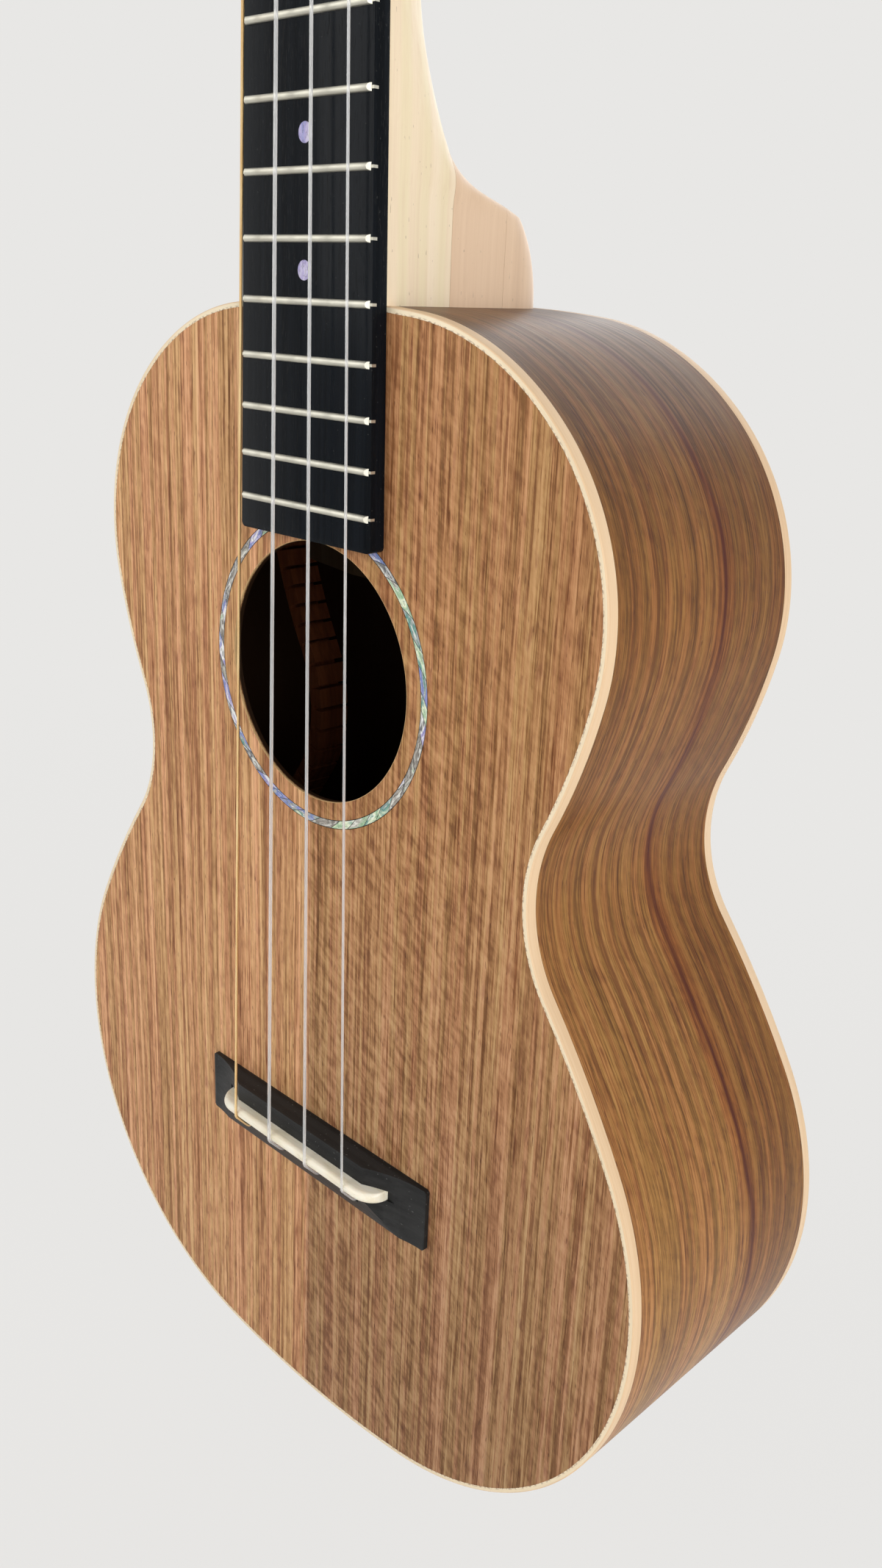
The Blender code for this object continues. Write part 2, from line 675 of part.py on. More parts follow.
def make_bridge():
    half, middle = BRIDGE_LENGTH / 2, BRIDGE_MIDDLE / 2
    wing = [middle + (half - middle) * i / BRIDGE_WING_STEPS for i in range(BRIDGE_WING_STEPS + 1)]
    loop = [(-half, -GAP), (half, -GAP)]
    loop += [(x, -GAP - bridge_top(x)) for x in reversed(wing)]
    loop += [(-x, -GAP - bridge_top(x)) for x in wing]
    mesh = flat_mesh("bridge", [loop], BRIDGE_BACK_Z, BRIDGE_FRONT_Z, "XY")
    mesh.transform(Matrix.Translation((BRIDGE_OFFSET, 0, 0)))
    bridge = add_part("bridge", mesh, "ebony")
    cut_back_slope(bridge)
    half_slot = SADDLE_LENGTH / 2 + SADDLE_SLOT_EXTRA
    slot = box_mesh("saddle_slot",
                    (BRIDGE_OFFSET - half_slot, -CUTTER_REACH, SADDLE_Z - SADDLE_THICKNESS / 2 - GAP),
                    (BRIDGE_OFFSET + half_slot, -SADDLE_SEAT, SADDLE_Z + SADDLE_THICKNESS / 2 + GAP))
    boolean(bridge, add_cutter("saddle_slot", slot))
    drill_string_holes(bridge, "bridge_string_hole", CUTTER_REACH, -CUTTER_REACH)


def bridge_back_y(z):
    """Top of the bridge behind the saddle, where it falls towards the tail."""
    start = SADDLE_Z - SADDLE_THICKNESS
    fall = (BRIDGE_HEIGHT - BRIDGE_BACK_HEIGHT) / (start - BRIDGE_BACK_Z)
    return -GAP - BRIDGE_HEIGHT + fall * (start - z)


def cut_back_slope(bridge):
    """Lower the top behind the saddle towards the tail."""
    start = SADDLE_Z - SADDLE_THICKNESS
    beyond = BRIDGE_BACK_Z - BRIDGE_WIDTH / 4
    clear = -2 * BRIDGE_HEIGHT
    loop = [(bridge_back_y(start), start), (clear, start), (clear, beyond),
            (bridge_back_y(beyond), beyond)]
    cutter = flat_mesh("bridge_slope", [loop], -BRIDGE_LENGTH, BRIDGE_LENGTH, "YZ")
    boolean(bridge, add_cutter("bridge_slope", cutter))


def make_saddle():
    """A bone bar with a round top edge and ends that fall away."""
    half = SADDLE_LENGTH / 2
    low, top = SADDLE_SEAT + GAP, SADDLE_TOP
    loop = [(-half, -low), (half, -low), (half, -SADDLE_SHOULDER)]
    for i in range(1, 6):
        angle = math.radians(90) * i / 5
        loop.append((half - SADDLE_END_FALL * (1 - math.cos(angle)),
                     -SADDLE_SHOULDER - (top - SADDLE_SHOULDER) * math.sin(angle)))
    loop += [(-x, y) for x, y in reversed(loop[2:])]
    depth = SADDLE_THICKNESS / 2
    mesh = flat_mesh("saddle", [loop], SADDLE_Z - depth, SADDLE_Z + depth, "XY")
    mesh.transform(Matrix.Translation((BRIDGE_OFFSET, 0, 0)))
    saddle = add_part("saddle", mesh, "bone", smooth=True)
    crown = [(-CUTTER_REACH, SADDLE_Z - 2 * depth), (-CUTTER_REACH, SADDLE_Z + 2 * depth)]
    for i in range(7):
        angle = math.radians(180) * i / 6
        reach = 2 * depth if i in (0, 6) else depth
        crown.append((-top + depth - depth * math.sin(angle), SADDLE_Z + reach * math.cos(angle)))
    cutter = flat_mesh("saddle_crown", [crown], -SADDLE_LENGTH, SADDLE_LENGTH, "YZ")
    boolean(saddle, add_cutter("saddle_crown", cutter))


def make_fingerboard():
    start, end = NUT_Z, BOARD_END_Z
    wide, narrow = board_half_width(end), board_half_width(start)
    right = [(narrow, start), (board_half_width(end + BOARD_CORNER), end + BOARD_CORNER)]
    for i in range(1, 4):
        angle = math.radians(90) * i / 3
        right.append((wide - BOARD_CORNER * (1 - math.cos(angle)),
                      end + BOARD_CORNER * (1 - math.sin(angle))))
    loop = right + [(-x, z) for x, z in reversed(right)]
    mesh = flat_mesh("fingerboard", [loop], BOARD_TOP_Y, BOARD_UNDER_Y)
    board = add_part("fingerboard", mesh, "ebony")
    for number in range(1, FRET_COUNT + 1):
        z = fret_z(number)
        slot = box_mesh(f"fret_slot_{number:02d}",
                        (-wide * 2, -CUTTER_REACH, z - FRET_SLOT_WIDTH / 2),
                        (wide * 2, BOARD_TOP_Y + FRET_SLOT_DEPTH, z + FRET_SLOT_WIDTH / 2))
        boolean(board, add_cutter(f"fret_slot_{number:02d}", slot))


def make_frets():
    half_crown, half_tang = FRET_CROWN_WIDTH / 2, FRET_TANG_WIDTH / 2
    base = -GAP
    section = [(half_tang, FRET_TANG_DEPTH), (half_tang, base)]
    for i in range(6):
        angle = math.radians(180) * i / 5
        section.append((half_crown * math.cos(angle), base - FRET_CROWN_HEIGHT * math.sin(angle)))
    section += [(-half_tang, base), (-half_tang, FRET_TANG_DEPTH)]
    for number in range(1, FRET_COUNT + 1):
        z = fret_z(number)
        half = board_half_width(z)
        loop = [(BOARD_TOP_Y + y, z + across) for across, y in section]
        name = f"fret_{number:02d}"
        mesh = flat_mesh(name, [loop], -half, half, "YZ")
        bevel_fret_ends(mesh, half)
        add_part(name, mesh, "nickel", smooth=True)


def bevel_fret_ends(mesh, half):
    """Slope the ends of the crown inward, towards its top."""
    for vertex in mesh.vertices:
        above = BOARD_TOP_Y - GAP - vertex.co.y
        if above > 0:
            vertex.co.x -= math.copysign(above * FRET_END_SLOPE, vertex.co.x)


def bezier_chain(knots, steps):
    """Sample a chain of cubic stretches given as (start, handle, handle, end)."""
    points = []
    for a, b, c, d in knots:
        stretch = interpolate_bezier(Vector((*a, 0)), Vector((*b, 0)), Vector((*c, 0)),
                                     Vector((*d, 0)), steps)
        points += [(p.x, p.y) for p in stretch[:-1]]
    points.append(tuple(knots[-1][3]))
    return points


def neck_profile():
    """Pairs of height above the body join and depth below the board, along the centre line."""
    lobe = Vector((LOBE_RISE, HEEL_DEPTH - LOBE_DROP))
    throat = Vector((THROAT_RISE, NECK_DEPTH_AT_HEEL + THROAT_DEPTH))
    end = Vector((HEEL_LENGTH, NECK_DEPTH_AT_HEEL))
    lobe_before, lobe_after = [lobe + Vector(offset) for offset in LOBE_HANDLES]
    throat_before, throat_after = [throat + Vector(offset) for offset in THROAT_HANDLES]
    knots = [
        ((0, HEEL_DEPTH), (HEEL_TIP_RUN, HEEL_DEPTH), lobe_before, lobe),
        (lobe, lobe_after, throat_before, throat),
        (throat, throat_after, end - Vector((NECK_RUN, 0)), end),
    ]
    return bezier_chain(knots, 7)


def neck_section(z, depth):
    """Closed (x, y) section of the neck: flat under the board, round or tapered behind."""
    half = board_half_width(z)
    blend = min(max((depth - NECK_DEPTH_AT_HEEL) / (HEEL_DEPTH - NECK_DEPTH_AT_HEEL), 0), 1)
    power = 2 + HEEL_SQUARENESS * blend
    taper = (1 - HEEL_TIP_WIDTH / 2 / half) * blend
    steps = 8
    right = []
    for i in range(steps):
        share = math.sin(math.radians(90) * i / steps)
        right.append((half * (1 - taper * share) * math.sqrt(1 - share ** power), depth * share))
    left = [(-x, y) for x, y in reversed(right)]
    return right + [(0, depth)] + left


def loft_mesh(name, stations):
    """Join unlike sections, each a list of (x, y) at its own height."""
    shape = bmesh.new()
    rings = [[shape.verts.new((x, y, z)) for x, y in section] for z, section in stations]
    count = len(rings[0])
    for lower, upper in zip(rings, rings[1:]):
        for i in range(count):
            j = (i + 1) % count
            shape.faces.new((lower[i], lower[j], upper[j], upper[i]))
    shape.faces.new(rings[0][::-1])
    shape.faces.new(rings[-1])
    return tidy(shape, name)


def neck_shaft_mesh(name, low_y, high_y):
    """The neck and heel's outer shape, kept between two depths below the board."""
    profile = neck_profile()
    into_body = 0.004
    past_nut = 0.0015
    top_z = NUT_Z + NUT_THICKNESS + past_nut
    stations = [(JOIN_Z - into_body, neck_section(JOIN_Z, HEEL_DEPTH))]
    stations += [(JOIN_Z + rise, neck_section(JOIN_Z + rise, depth)) for rise, depth in profile]
    start = JOIN_Z + HEEL_LENGTH
    for i in range(1, 5):
        share = i / 4
        z = start + (top_z - start) * share
        depth = NECK_DEPTH_AT_HEEL + (NECK_DEPTH_AT_NUT - NECK_DEPTH_AT_HEEL) * share
        stations.append((z, neck_section(min(z, NUT_Z), depth)))
    shaft = bpy.data.objects.new(name, loft_mesh(name, stations))
    CUTTERS.objects.link(shaft)
    far = SCALE / 2
    if low_y > 0:
        mesh = box_mesh(name + "_above", (-far, -far, JOIN_Z - far), (far, low_y, NUT_Z + far))
        boolean(shaft, add_cutter(name + "_above", mesh))
    if high_y < HEEL_DEPTH:
        mesh = box_mesh(name + "_below", (-far, high_y, JOIN_Z - far), (far, far, NUT_Z + far))
        boolean(shaft, add_cutter(name + "_below", mesh))
    body = flat_mesh(name + "_body", [full_outline(-GAP)], -far / 4, far)
    boolean(shaft, add_cutter(name + "_body", body))
    bpy.context.view_layer.update()
    graph = bpy.context.evaluated_depsgraph_get()
    mesh = bpy.data.meshes.new_from_object(shaft.evaluated_get(graph))
    bpy.data.objects.remove(shaft, do_unlink=True)
    return mesh


def head_outline():
    """Treble half of the head's outline, in its own frame, then mirrored."""
    base, wide, top = NUT_WIDTH / 2, HEAD_WIDTH / 2, HEAD_TOP_WIDTH / 2
    shoulder = HEAD_LENGTH - HEAD_CROWN
    flare = HEAD_FLARE_END
    low_run, high_run = HEAD_WAIST_RUNS
    near, far = HEAD_CROWN_SHARES
    knots = [
        ((base, 0), (base, HEAD_NECK_RUN), (wide, flare - HEAD_FLARE_RUN), (wide, flare)),
        ((wide, flare), (wide, flare + low_run), (top, shoulder - high_run), (top, shoulder)),
        ((top, shoulder), (top * near, HEAD_LENGTH), (top * far, HEAD_LENGTH), (0, HEAD_LENGTH)),
    ]
    right = bezier_chain(knots, 7)
    return right + [(-x, z) for x, z in reversed(right[:-1])]


def head_matrix():
    """From the head's frame (x across, y into the head, z up the head) to the world."""
    return Matrix.Translation(HEAD_ORIGIN) @ Matrix.Rotation(-HEAD_TILT, 4, "X")


def make_neck():
    neck = add_part("neck", neck_shaft_mesh("neck", 0, NECK_BLANK), "neckwood", smooth=True)
    head = flat_mesh("head", [head_outline()], 0, HEAD_THICKNESS)
    head.transform(head_matrix())
    boolean(neck, add_cutter("head", head), "UNION")
    for number, (x, height) in enumerate(tuner_places(), start=1):
        name = f"post_hole_{number}"
        mesh = cylinder_mesh(name, (x, -CUTTER_REACH, height), (x, CUTTER_REACH, height),
                             POST_RADIUS + GAP, POST_HOLE_SIDES)
        mesh.transform(head_matrix())
        boolean(neck, add_cutter(name, mesh))
    upper = NECK_BLANK + GAP
    lower = upper + HEEL_BLOCK + GAP
    add_part("heel_upper", neck_shaft_mesh("heel_upper", upper, lower - GAP), "neckwood", smooth=True)
    add_part("heel_lower", neck_shaft_mesh("heel_lower", lower, 1), "neckwood", smooth=True)


def make_nut():
    half = NUT_WIDTH / 2
    low = (-half, -GAP - NUT_HEIGHT, NUT_Z + GAP)
    high = (half, -GAP, NUT_Z + NUT_THICKNESS)
    nut = add_part("nut", box_mesh("nut", low, high), "bone")
    for index, diameter in enumerate(STRING_DIAMETERS):
        reach = diameter / 2 + GAP
        name = f"nut_slot_{index}"
        mesh = box_mesh(name, (-reach, -CUTTER_REACH, -CUTTER_REACH), (reach, reach, CUTTER_REACH))
        turn = Matrix.Rotation(-HEAD_TILT / 2, 4, "X")
        place = Matrix.Translation((string_x_nut(index), -STRING_HEIGHT_NUT, NUT_Z))
        mesh.transform(place @ turn)
        boolean(nut, add_cutter(name, mesh))


def tuner_places():
    """Post positions in the head's frame, for strings one to four."""
    low, high = POST_HEIGHTS
    return ((POST_X, low), (POST_X, high), (-POST_X, high), (-POST_X, low))


def gear_loop():
    """A spur gear with a gap facing straight down, where the worm runs."""
    root = GEAR_PITCH_RADIUS - GEAR_ROOT * GEAR_MODULE
    tip = GEAR_PITCH_RADIUS + GEAR_TIP * GEAR_MODULE
    flanks = ((root, -GEAR_ROOT_SHARE), (tip, -GEAR_TIP_SHARE), (tip, GEAR_TIP_SHARE),
              (root, GEAR_ROOT_SHARE))
    points = []
    for tooth in range(GEAR_TEETH):
        centre = -math.pi / 2 + (tooth + 0.5) * 2 * math.pi / GEAR_TEETH
        for radius, share in flanks:
            angle = centre + share * GEAR_TOOTH_WIDTH / 2 / radius
            points.append((radius * math.cos(angle), radius * math.sin(angle)))
    return points


def make_post(number, x, height):
    name = f"tuner_{number}_post"
    back = GEAR_FRONT_Y + GEAR_THICKNESS + POST_TAIL
    middle = GEAR_MIDDLE_Y
    profile = [(0, POST_RISE), (POST_RADIUS - POST_EDGE, POST_RISE),
               (POST_RADIUS, POST_RISE - POST_EDGE), (POST_RADIUS, POST_WAIST_END),
               (POST_WAIST_RADIUS, POST_WAIST_END - POST_EDGE),
               (POST_WAIST_RADIUS, POST_WAIST_START + POST_EDGE), (POST_RADIUS, POST_WAIST_START),
               (POST_RADIUS, -HUB_FRONT_Y), (GEAR_HUB_RADIUS, -HUB_FRONT_Y),
               (GEAR_HUB_RADIUS, -middle), (POST_RADIUS, -middle), (POST_RADIUS, -back), (0, -back)]
    post = turned_part(name, profile, POST_SIDES, "nickel")
    post.matrix_world = head_matrix() @ Matrix.Translation((x, 0, height)) @ Matrix.Rotation(
        math.pi / 2, 4, "X")
    gear = flat_mesh(f"gear_{number}", [gear_loop()], GEAR_FRONT_Y, GEAR_FRONT_Y + GEAR_THICKNESS)
    gear.transform(head_matrix() @ Matrix.Translation((x, 0, height)))
    boolean(post, add_cutter(f"gear_{number}", gear), "UNION")
    hole = cylinder_mesh(f"anchor_{number}", (x, -STRING_ANCHOR_RISE, height),
                         (x, -STRING_ANCHOR_RISE, height + CUTTER_REACH), ANCHOR_HOLE_RADIUS,
                         STRING_HOLE_SIDES)
    hole.transform(head_matrix())
    boolean(post, add_cutter(f"anchor_{number}", hole))


def make_plate(number, x, height):
    name = f"tuner_{number}_plate"
    front = PLATE_FRONT_Y
    base = box_mesh(name, (x - PLATE_WIDTH / 2, front, height - PLATE_BELOW),
                    (x + PLATE_WIDTH / 2, front + PLATE_THICKNESS, height + PLATE_ABOVE))
    base.transform(head_matrix())
    plate = add_part(name, base, "nickel")
    worm_z = height - WORM_DROP
    reach = WORM_SHAFT_RADIUS + EAR_REACH
    for label, direction in (("inner", -1), ("outer", 1)):
        ear_x = x + direction * EAR_SPACING / 2
        ear = box_mesh(f"ear_{label}_{number}",
                       (ear_x - EAR_THICKNESS / 2, front + PLATE_THICKNESS / 2, worm_z - reach),
                       (ear_x + EAR_THICKNESS / 2, GEAR_MIDDLE_Y + reach, worm_z + reach))
        ear.transform(head_matrix())
        boolean(plate, add_cutter(f"ear_{label}_{number}", ear), "UNION")
    bore = cylinder_mesh(f"bore_{number}", (x - CUTTER_REACH, GEAR_MIDDLE_Y, worm_z),
                         (x + CUTTER_REACH, GEAR_MIDDLE_Y, worm_z), WORM_SHAFT_RADIUS + GAP,
                         WORM_SHAFT_SIDES)
    bore.transform(head_matrix())
    boolean(plate, add_cutter(f"bore_{number}", bore))
    hole = cylinder_mesh(f"plate_hole_{number}", (x, 0, height), (x, CUTTER_REACH, height),
                         POST_RADIUS + GAP, POST_HOLE_SIDES)
    hole.transform(head_matrix())
    boolean(plate, add_cutter(f"plate_hole_{number}", hole))


def make_button(number, x, height):
    """Worm, shaft and button in one piece, turning on the shaft's axis along X."""
    name = f"tuner_{number}_button"
    side = 1 if x > 0 else -1
    inner = -side * (EAR_SPACING / 2 + EAR_THICKNESS / 2 + WORM_SHAFT_END)
    button_start = side * (HEAD_WIDTH / 2 + BUTTON_STAND_OFF - POST_X)
    shaft = cylinder_mesh(name, (inner, 0, 0), (button_start + side * WORM_SHAFT_SEAT, 0, 0),
                          WORM_SHAFT_RADIUS, WORM_SHAFT_SIDES)
    button = add_part(name, shaft, "pearl", smooth=True)
    button.matrix_world = head_matrix() @ Matrix.Translation(
        (x, GEAR_MIDDLE_Y, height - WORM_DROP))
    half_count = round(WORM_TURNS * WORM_POINTS / 2)
    thread = []
    for i in range(-half_count, half_count + 1):
        angle = 2 * math.pi * i / WORM_POINTS
        thread.append((WORM_PITCH * i / WORM_POINTS, -WORM_THREAD_CENTRE * math.sin(angle),
                       WORM_THREAD_CENTRE * math.cos(angle)))
    mesh = tube_mesh(f"thread_{number}", thread, WORM_THREAD_RADIUS, 1)
    cutter = add_cutter(f"thread_{number}", mesh)
    cutter.matrix_world = button.matrix_world
    boolean(button, cutter, "UNION")
    knob = bmesh.new()
    bmesh.ops.create_uvsphere(knob, u_segments=BUTTON_SIDES, v_segments=BUTTON_RINGS, radius=0.5)
    knob.transform(Matrix.Translation((button_start + side * BUTTON_LENGTH / 2, 0, 0))
                   @ Matrix.Diagonal((BUTTON_LENGTH, BUTTON_DEPTH, BUTTON_WIDTH, 1)))
    cutter = add_cutter(f"knob_{number}", tidy(knob, f"knob_{number}"))
    cutter.matrix_world = button.matrix_world
    boolean(button, cutter, "UNION")


def make_tuners():
    for number, (x, height) in enumerate(tuner_places(), start=1):
        make_plate(number, x, height)
        make_post(number, x, height)
        make_button(number, x, height)


def tangent_angle(from_z, from_y, centre_z, centre_y, radius, sign):
    """Angle at which a line from a point touches a circle, in the (z, y) plane."""
    dz, dy = from_z - centre_z, from_y - centre_y
    return math.atan2(dy, dz) + sign * math.acos(radius / math.hypot(dz, dy))


def saddle_stretch(radius, x_saddle, x_nut):
    """Points from the knot under the plate, up the hole, over the saddle and to the nut."""
    bend = SADDLE_THICKNESS / 2 + GAP + radius
    centre_y = -SADDLE_TOP + SADDLE_THICKNESS / 2
    exit_y = bridge_back_y(STRING_HOLE_Z) - STRING_EXIT_RISE
    knot_y = INSIDE_Y + BRIDGE_PLATE_THICKNESS + GAP + KNOT_RADIUS
    start = tangent_angle(STRING_HOLE_Z, exit_y, SADDLE_Z, centre_y, bend, 1)
    end = tangent_angle(NUT_Z, -STRING_HEIGHT_NUT, SADDLE_Z, centre_y, bend, -1)
    start, end = start % (2 * math.pi), end % (2 * math.pi)
    points = [(x_saddle, knot_y + KNOT_RADIUS, STRING_HOLE_Z),
              (x_saddle, knot_y + KNOT_RADIUS / 2, STRING_HOLE_Z),
              (x_saddle, knot_y - KNOT_RADIUS / 2, STRING_HOLE_Z),
              (x_saddle, knot_y - KNOT_RADIUS, STRING_HOLE_Z),
              (x_saddle, exit_y, STRING_HOLE_Z)]
    steps = 4
    for i in range(steps + 1):
        angle = start + (end - start) * i / steps
        points.append((x_saddle, centre_y + bend * math.sin(angle),
                       SADDLE_Z + bend * math.cos(angle)))
    points.append((x_nut, -STRING_HEIGHT_NUT, NUT_Z + GAP))
    return points


def winding_stretch(radius, x, height, turn, nut_point):
    """Points in the head's frame: the run from the nut, the turns and the anchor in the post."""
    reach = POST_WAIST_RADIUS + GAP + radius
    pitch = 2 * radius + WINDING_GAP
    bend = reach - POST_WAIST_RADIUS
    # The string meets the inner side of the post, then winds outward from the face.
    end_angle = math.pi / 2 + turn * math.asin(bend / reach)
    dx, dz = nut_point[0] - x, nut_point[2] - height
    first = math.atan2(dz, dx) + turn * -math.acos(reach / math.hypot(dx, dz))
    span = (end_angle - first) * turn % (2 * math.pi) + (WINDING_TURNS - 1) * 2 * math.pi
    count = round(span / (2 * math.pi) * WINDING_POINTS)
    rise = pitch * span / (2 * math.pi)
    points = []
    for i in range(count + 1):
        share = i / count
        angle = first + turn * span * share
        points.append((x + reach * math.cos(angle), -STRING_ANCHOR_RISE + rise * (1 - share),
                       height + reach * math.sin(angle)))
    centre_x = x - turn * bend
    for step in (1, 2, 3):
        angle = math.radians(30) * step
        points.append((centre_x + turn * bend * math.sin(angle), -STRING_ANCHOR_RISE,
                       height + POST_WAIST_RADIUS + bend * math.cos(angle)))
    points.append((x, -STRING_ANCHOR_RISE, height + ANCHOR_END))
    return points


def least_gap(points, diameter):
    """Least distance of a wound tube to itself, between points more than half a turn apart."""
    apart = WINDING_POINTS // 2
    least = min((Vector(a) - Vector(b)).length
                for i, a in enumerate(points) for b in points[i + apart:])
    return least - diameter


def make_strings():
    places = tuner_places()
    for index, diameter in enumerate(STRING_DIAMETERS):
        number = 4 - index
        x, height = places[number - 1]
        radius = diameter / 2
        x_nut = string_x_nut(index)
        points = saddle_stretch(radius, string_x_saddle(index), x_nut)
        leave = (x_nut, -STRING_HEIGHT_NUT + NUT_THICKNESS * math.sin(HEAD_TILT / 2), 0)
        turn = 1 if x > 0 else -1
        winding = winding_stretch(radius, x, height, turn, leave)
        print(f"string_{number} winding gap to itself {least_gap(winding, diameter) * 1000:.2f} mm")
        head = head_matrix()
        points.append((x_nut, leave[1], NUT_Z + NUT_THICKNESS))
        points += [tuple(head @ Vector(p)) for p in winding]
        knot = KNOT_RADIUS / radius
        radii = [KNOT_END_SHARE * knot, knot, knot] + [1] * (len(points) - 3)
        name = f"string_{number}"
        kind = "gold_wire" if index == 0 else "clear"
        add_part(name, tube_mesh(name, points, radius, 1, radii), kind, smooth=True)


make_soundboard()
make_rosette()
make_back_plate()
make_bindings()
make_sides()
make_linings()
make_blocks()
make_ladder_braces()
make_bridge_plate()
make_fan_braces()
make_bridge()
make_saddle()
make_fingerboard()
make_frets()
make_neck()
make_nut()
make_tuners()
make_strings()
bpy.context.view_layer.update()
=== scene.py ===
"""Looks of a tenor ukulele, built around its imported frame.

Metres, +Z up the neck, +X the treble side, the soundboard facing -Y. Pieces of wood, bone, shell
and metal are shaped finely over the frame's solids, and each surface has a procedural material.
"""
import math

import bmesh
import bpy
from mathutils import Matrix, Vector
from mathutils.geometry import interpolate_bezier


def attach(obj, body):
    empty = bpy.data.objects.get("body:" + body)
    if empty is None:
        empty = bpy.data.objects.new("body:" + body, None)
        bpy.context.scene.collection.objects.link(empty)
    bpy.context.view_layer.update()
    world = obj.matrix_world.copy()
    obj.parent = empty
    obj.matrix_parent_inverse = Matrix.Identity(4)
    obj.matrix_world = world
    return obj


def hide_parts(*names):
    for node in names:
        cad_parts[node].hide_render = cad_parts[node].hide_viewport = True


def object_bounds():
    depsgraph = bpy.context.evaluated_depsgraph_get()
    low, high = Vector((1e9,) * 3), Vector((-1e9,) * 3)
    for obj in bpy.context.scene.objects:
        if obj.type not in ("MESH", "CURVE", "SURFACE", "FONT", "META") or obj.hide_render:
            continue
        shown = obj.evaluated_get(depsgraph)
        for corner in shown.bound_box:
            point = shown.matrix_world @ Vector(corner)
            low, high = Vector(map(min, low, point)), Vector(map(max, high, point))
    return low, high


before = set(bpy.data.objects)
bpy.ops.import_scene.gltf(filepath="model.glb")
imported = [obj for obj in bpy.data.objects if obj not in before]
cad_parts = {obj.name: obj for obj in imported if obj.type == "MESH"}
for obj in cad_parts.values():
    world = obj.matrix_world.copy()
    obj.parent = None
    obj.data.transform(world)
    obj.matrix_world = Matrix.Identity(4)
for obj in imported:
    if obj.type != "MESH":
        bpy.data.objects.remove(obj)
CAD_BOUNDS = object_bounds()
ROOT = "instrument"

# Camera of the photograph
CAMERA_PLACE = (0.24125, -0.20421, -0.23222)
CAMERA_RIGHT = (0.7084, 0.7046, 0.0414)
CAMERA_UP = (-0.2681, 0.2143, 0.9393)
LENS = 30.707
SENSOR = 36.0

# Light and background
BACKGROUND = (0.807, 0.799, 0.784)
WORLD_STRENGTH = 0.76
WORLD_TOP_STRENGTH = 0.14
WORLD_FADE = (-0.2, 1.0)      # heights of a ray's direction between which it changes
FLOOR_DROP = 0.035            # floor below the tail
FLOOR_RADIUS = 6.0
FLOOR_GLOW = 0.92             # share of the floor's colour that no shadow takes
FLOOR_LIFT = 1.02             # evens the floor near the object with the backdrop
FLOOR_FADE = (0.35, 0.95)     # from here to there the floor turns into the backdrop

# Neck and fingerboard
SCALE = 0.432
NUT_Z = -0.018
JOIN_Z = NUT_Z - SCALE / 2
FRET_COUNT = 16
DOT_FRETS = (5, 7, 10, 12)
DOT_RADIUS = 0.0021
DOT_X = -0.0002
DOT_DEPTH = 0.0012
DOT_GAP = 0.00003
NUT_WIDTH = 0.0350
BOARD_WIDTH_AT_JOIN = 0.0442
BOARD_THICKNESS = 0.0041
BOARD_PAST_LAST_FRET = 0.0076
BOARD_CORNER = 0.0014
BOARD_EDGE = 0.00022
FRET_CROWN_WIDTH = 0.0016
FRET_CROWN_HEIGHT = 0.0009
FRET_TANG_WIDTH = 0.0006
FRET_TANG_DEPTH = 0.0012
FRET_END_INSET = 0.0007
FRET_END_LEAN = 0.75          # how far the ends lean in, for each unit of rise
FRET_FOOT = 0.0001            # crown sunk into the board
NECK_DEPTH_AT_NUT = 0.0155
NECK_DEPTH_AT_HEEL = 0.0200
HEEL_LENGTH = 0.0620
HEEL_TIP_WIDTH = 0.0264
HEEL_TIP_RUN = 0.0085
HEEL_SQUARENESS = 16
LOBE_RISE = 0.0204
LOBE_DROP = 0.0082
LOBE_HANDLES = ((-0.0045, 0.0050), (0.0040, -0.0110))  # offsets of the curve's handles
THROAT_RISE = 0.0310
THROAT_DEPTH = 0.0086
THROAT_HANDLES = ((-0.0071, 0.0060), (0.0079, -0.0048))
NECK_RUN = 0.0100
NECK_BLANK = 0.0220
SHAFT_PAST_NUT = 0.0015
HEEL_UNDER_BODY = 0.0040
HEEL_BLOCK = 0.0200
JOINT_LINE = 0.00008

# Head, in its own tilted frame
HEAD_TILT = math.radians(12)
HEAD_THICKNESS = 0.0130
HEAD_LENGTH = 0.1260
HEAD_WIDTH = 0.0620
HEAD_TOP_WIDTH = 0.0560
HEAD_FLARE_END = 0.0270
HEAD_CROWN = 0.0070
HEAD_HANDLES = (0.010, 0.015, 0.033, 0.040)  # lengths of the curve's handles, from the nut up
HEAD_EDGE = 0.0012
NUT_THICKNESS = 0.0050
NUT_HEIGHT = 0.0069
NUT_EDGE = 0.0005

# Body
OUTLINE_ARCS = (              # radius, turn in degrees, from the tail round to the shoulder
    (0.2540, 8.5), (0.0860, 109.2), (0.2600, 9.0), (-0.0381, -62.2),
    (0.1482, 12.2), (0.0572, 56.6), (0.0669, 40.8),
)
OUTLINE_STEP = 1.6            # degrees
BODY_RISE = 0.0008            # top of the body above the join fret
OUTLINE_EASE = 0.00005        # keeps the outline within the coarser solids
DEPTH_AT_NECK = 0.0644
DEPTH_TAPER = 0.0513
HEEL_CLEARANCE = 0.0014       # the heel ends this far before the back
HEEL_DEPTH = DEPTH_AT_NECK - HEEL_CLEARANCE
SOUNDBOARD_THICKNESS = 0.0020
BACK_THICKNESS = 0.0022
SIDE_THICKNESS = 0.0020
BINDING_WIDTH = 0.0013
BINDING_HEIGHT = 0.0030
BINDING_ROUND = 0.00035
SOUNDHOLE_RADIUS = 0.0321
SOUNDHOLE_DROP = 0.0852
ROSETTE_RADIUS = 0.0378
ROSETTE_WIDTH = 0.0020
ROSETTE_DEPTH = 0.0010
ROSETTE_UNDER_BOARD = 0.0080
SHELL_STRIP = 0.0062          # usual length of a strip of shell
ROSETTE_LINE = 0.00016        # dark glue line each side of the shell
GLUE_SINK = 0.00012           # depth of the glue below the face
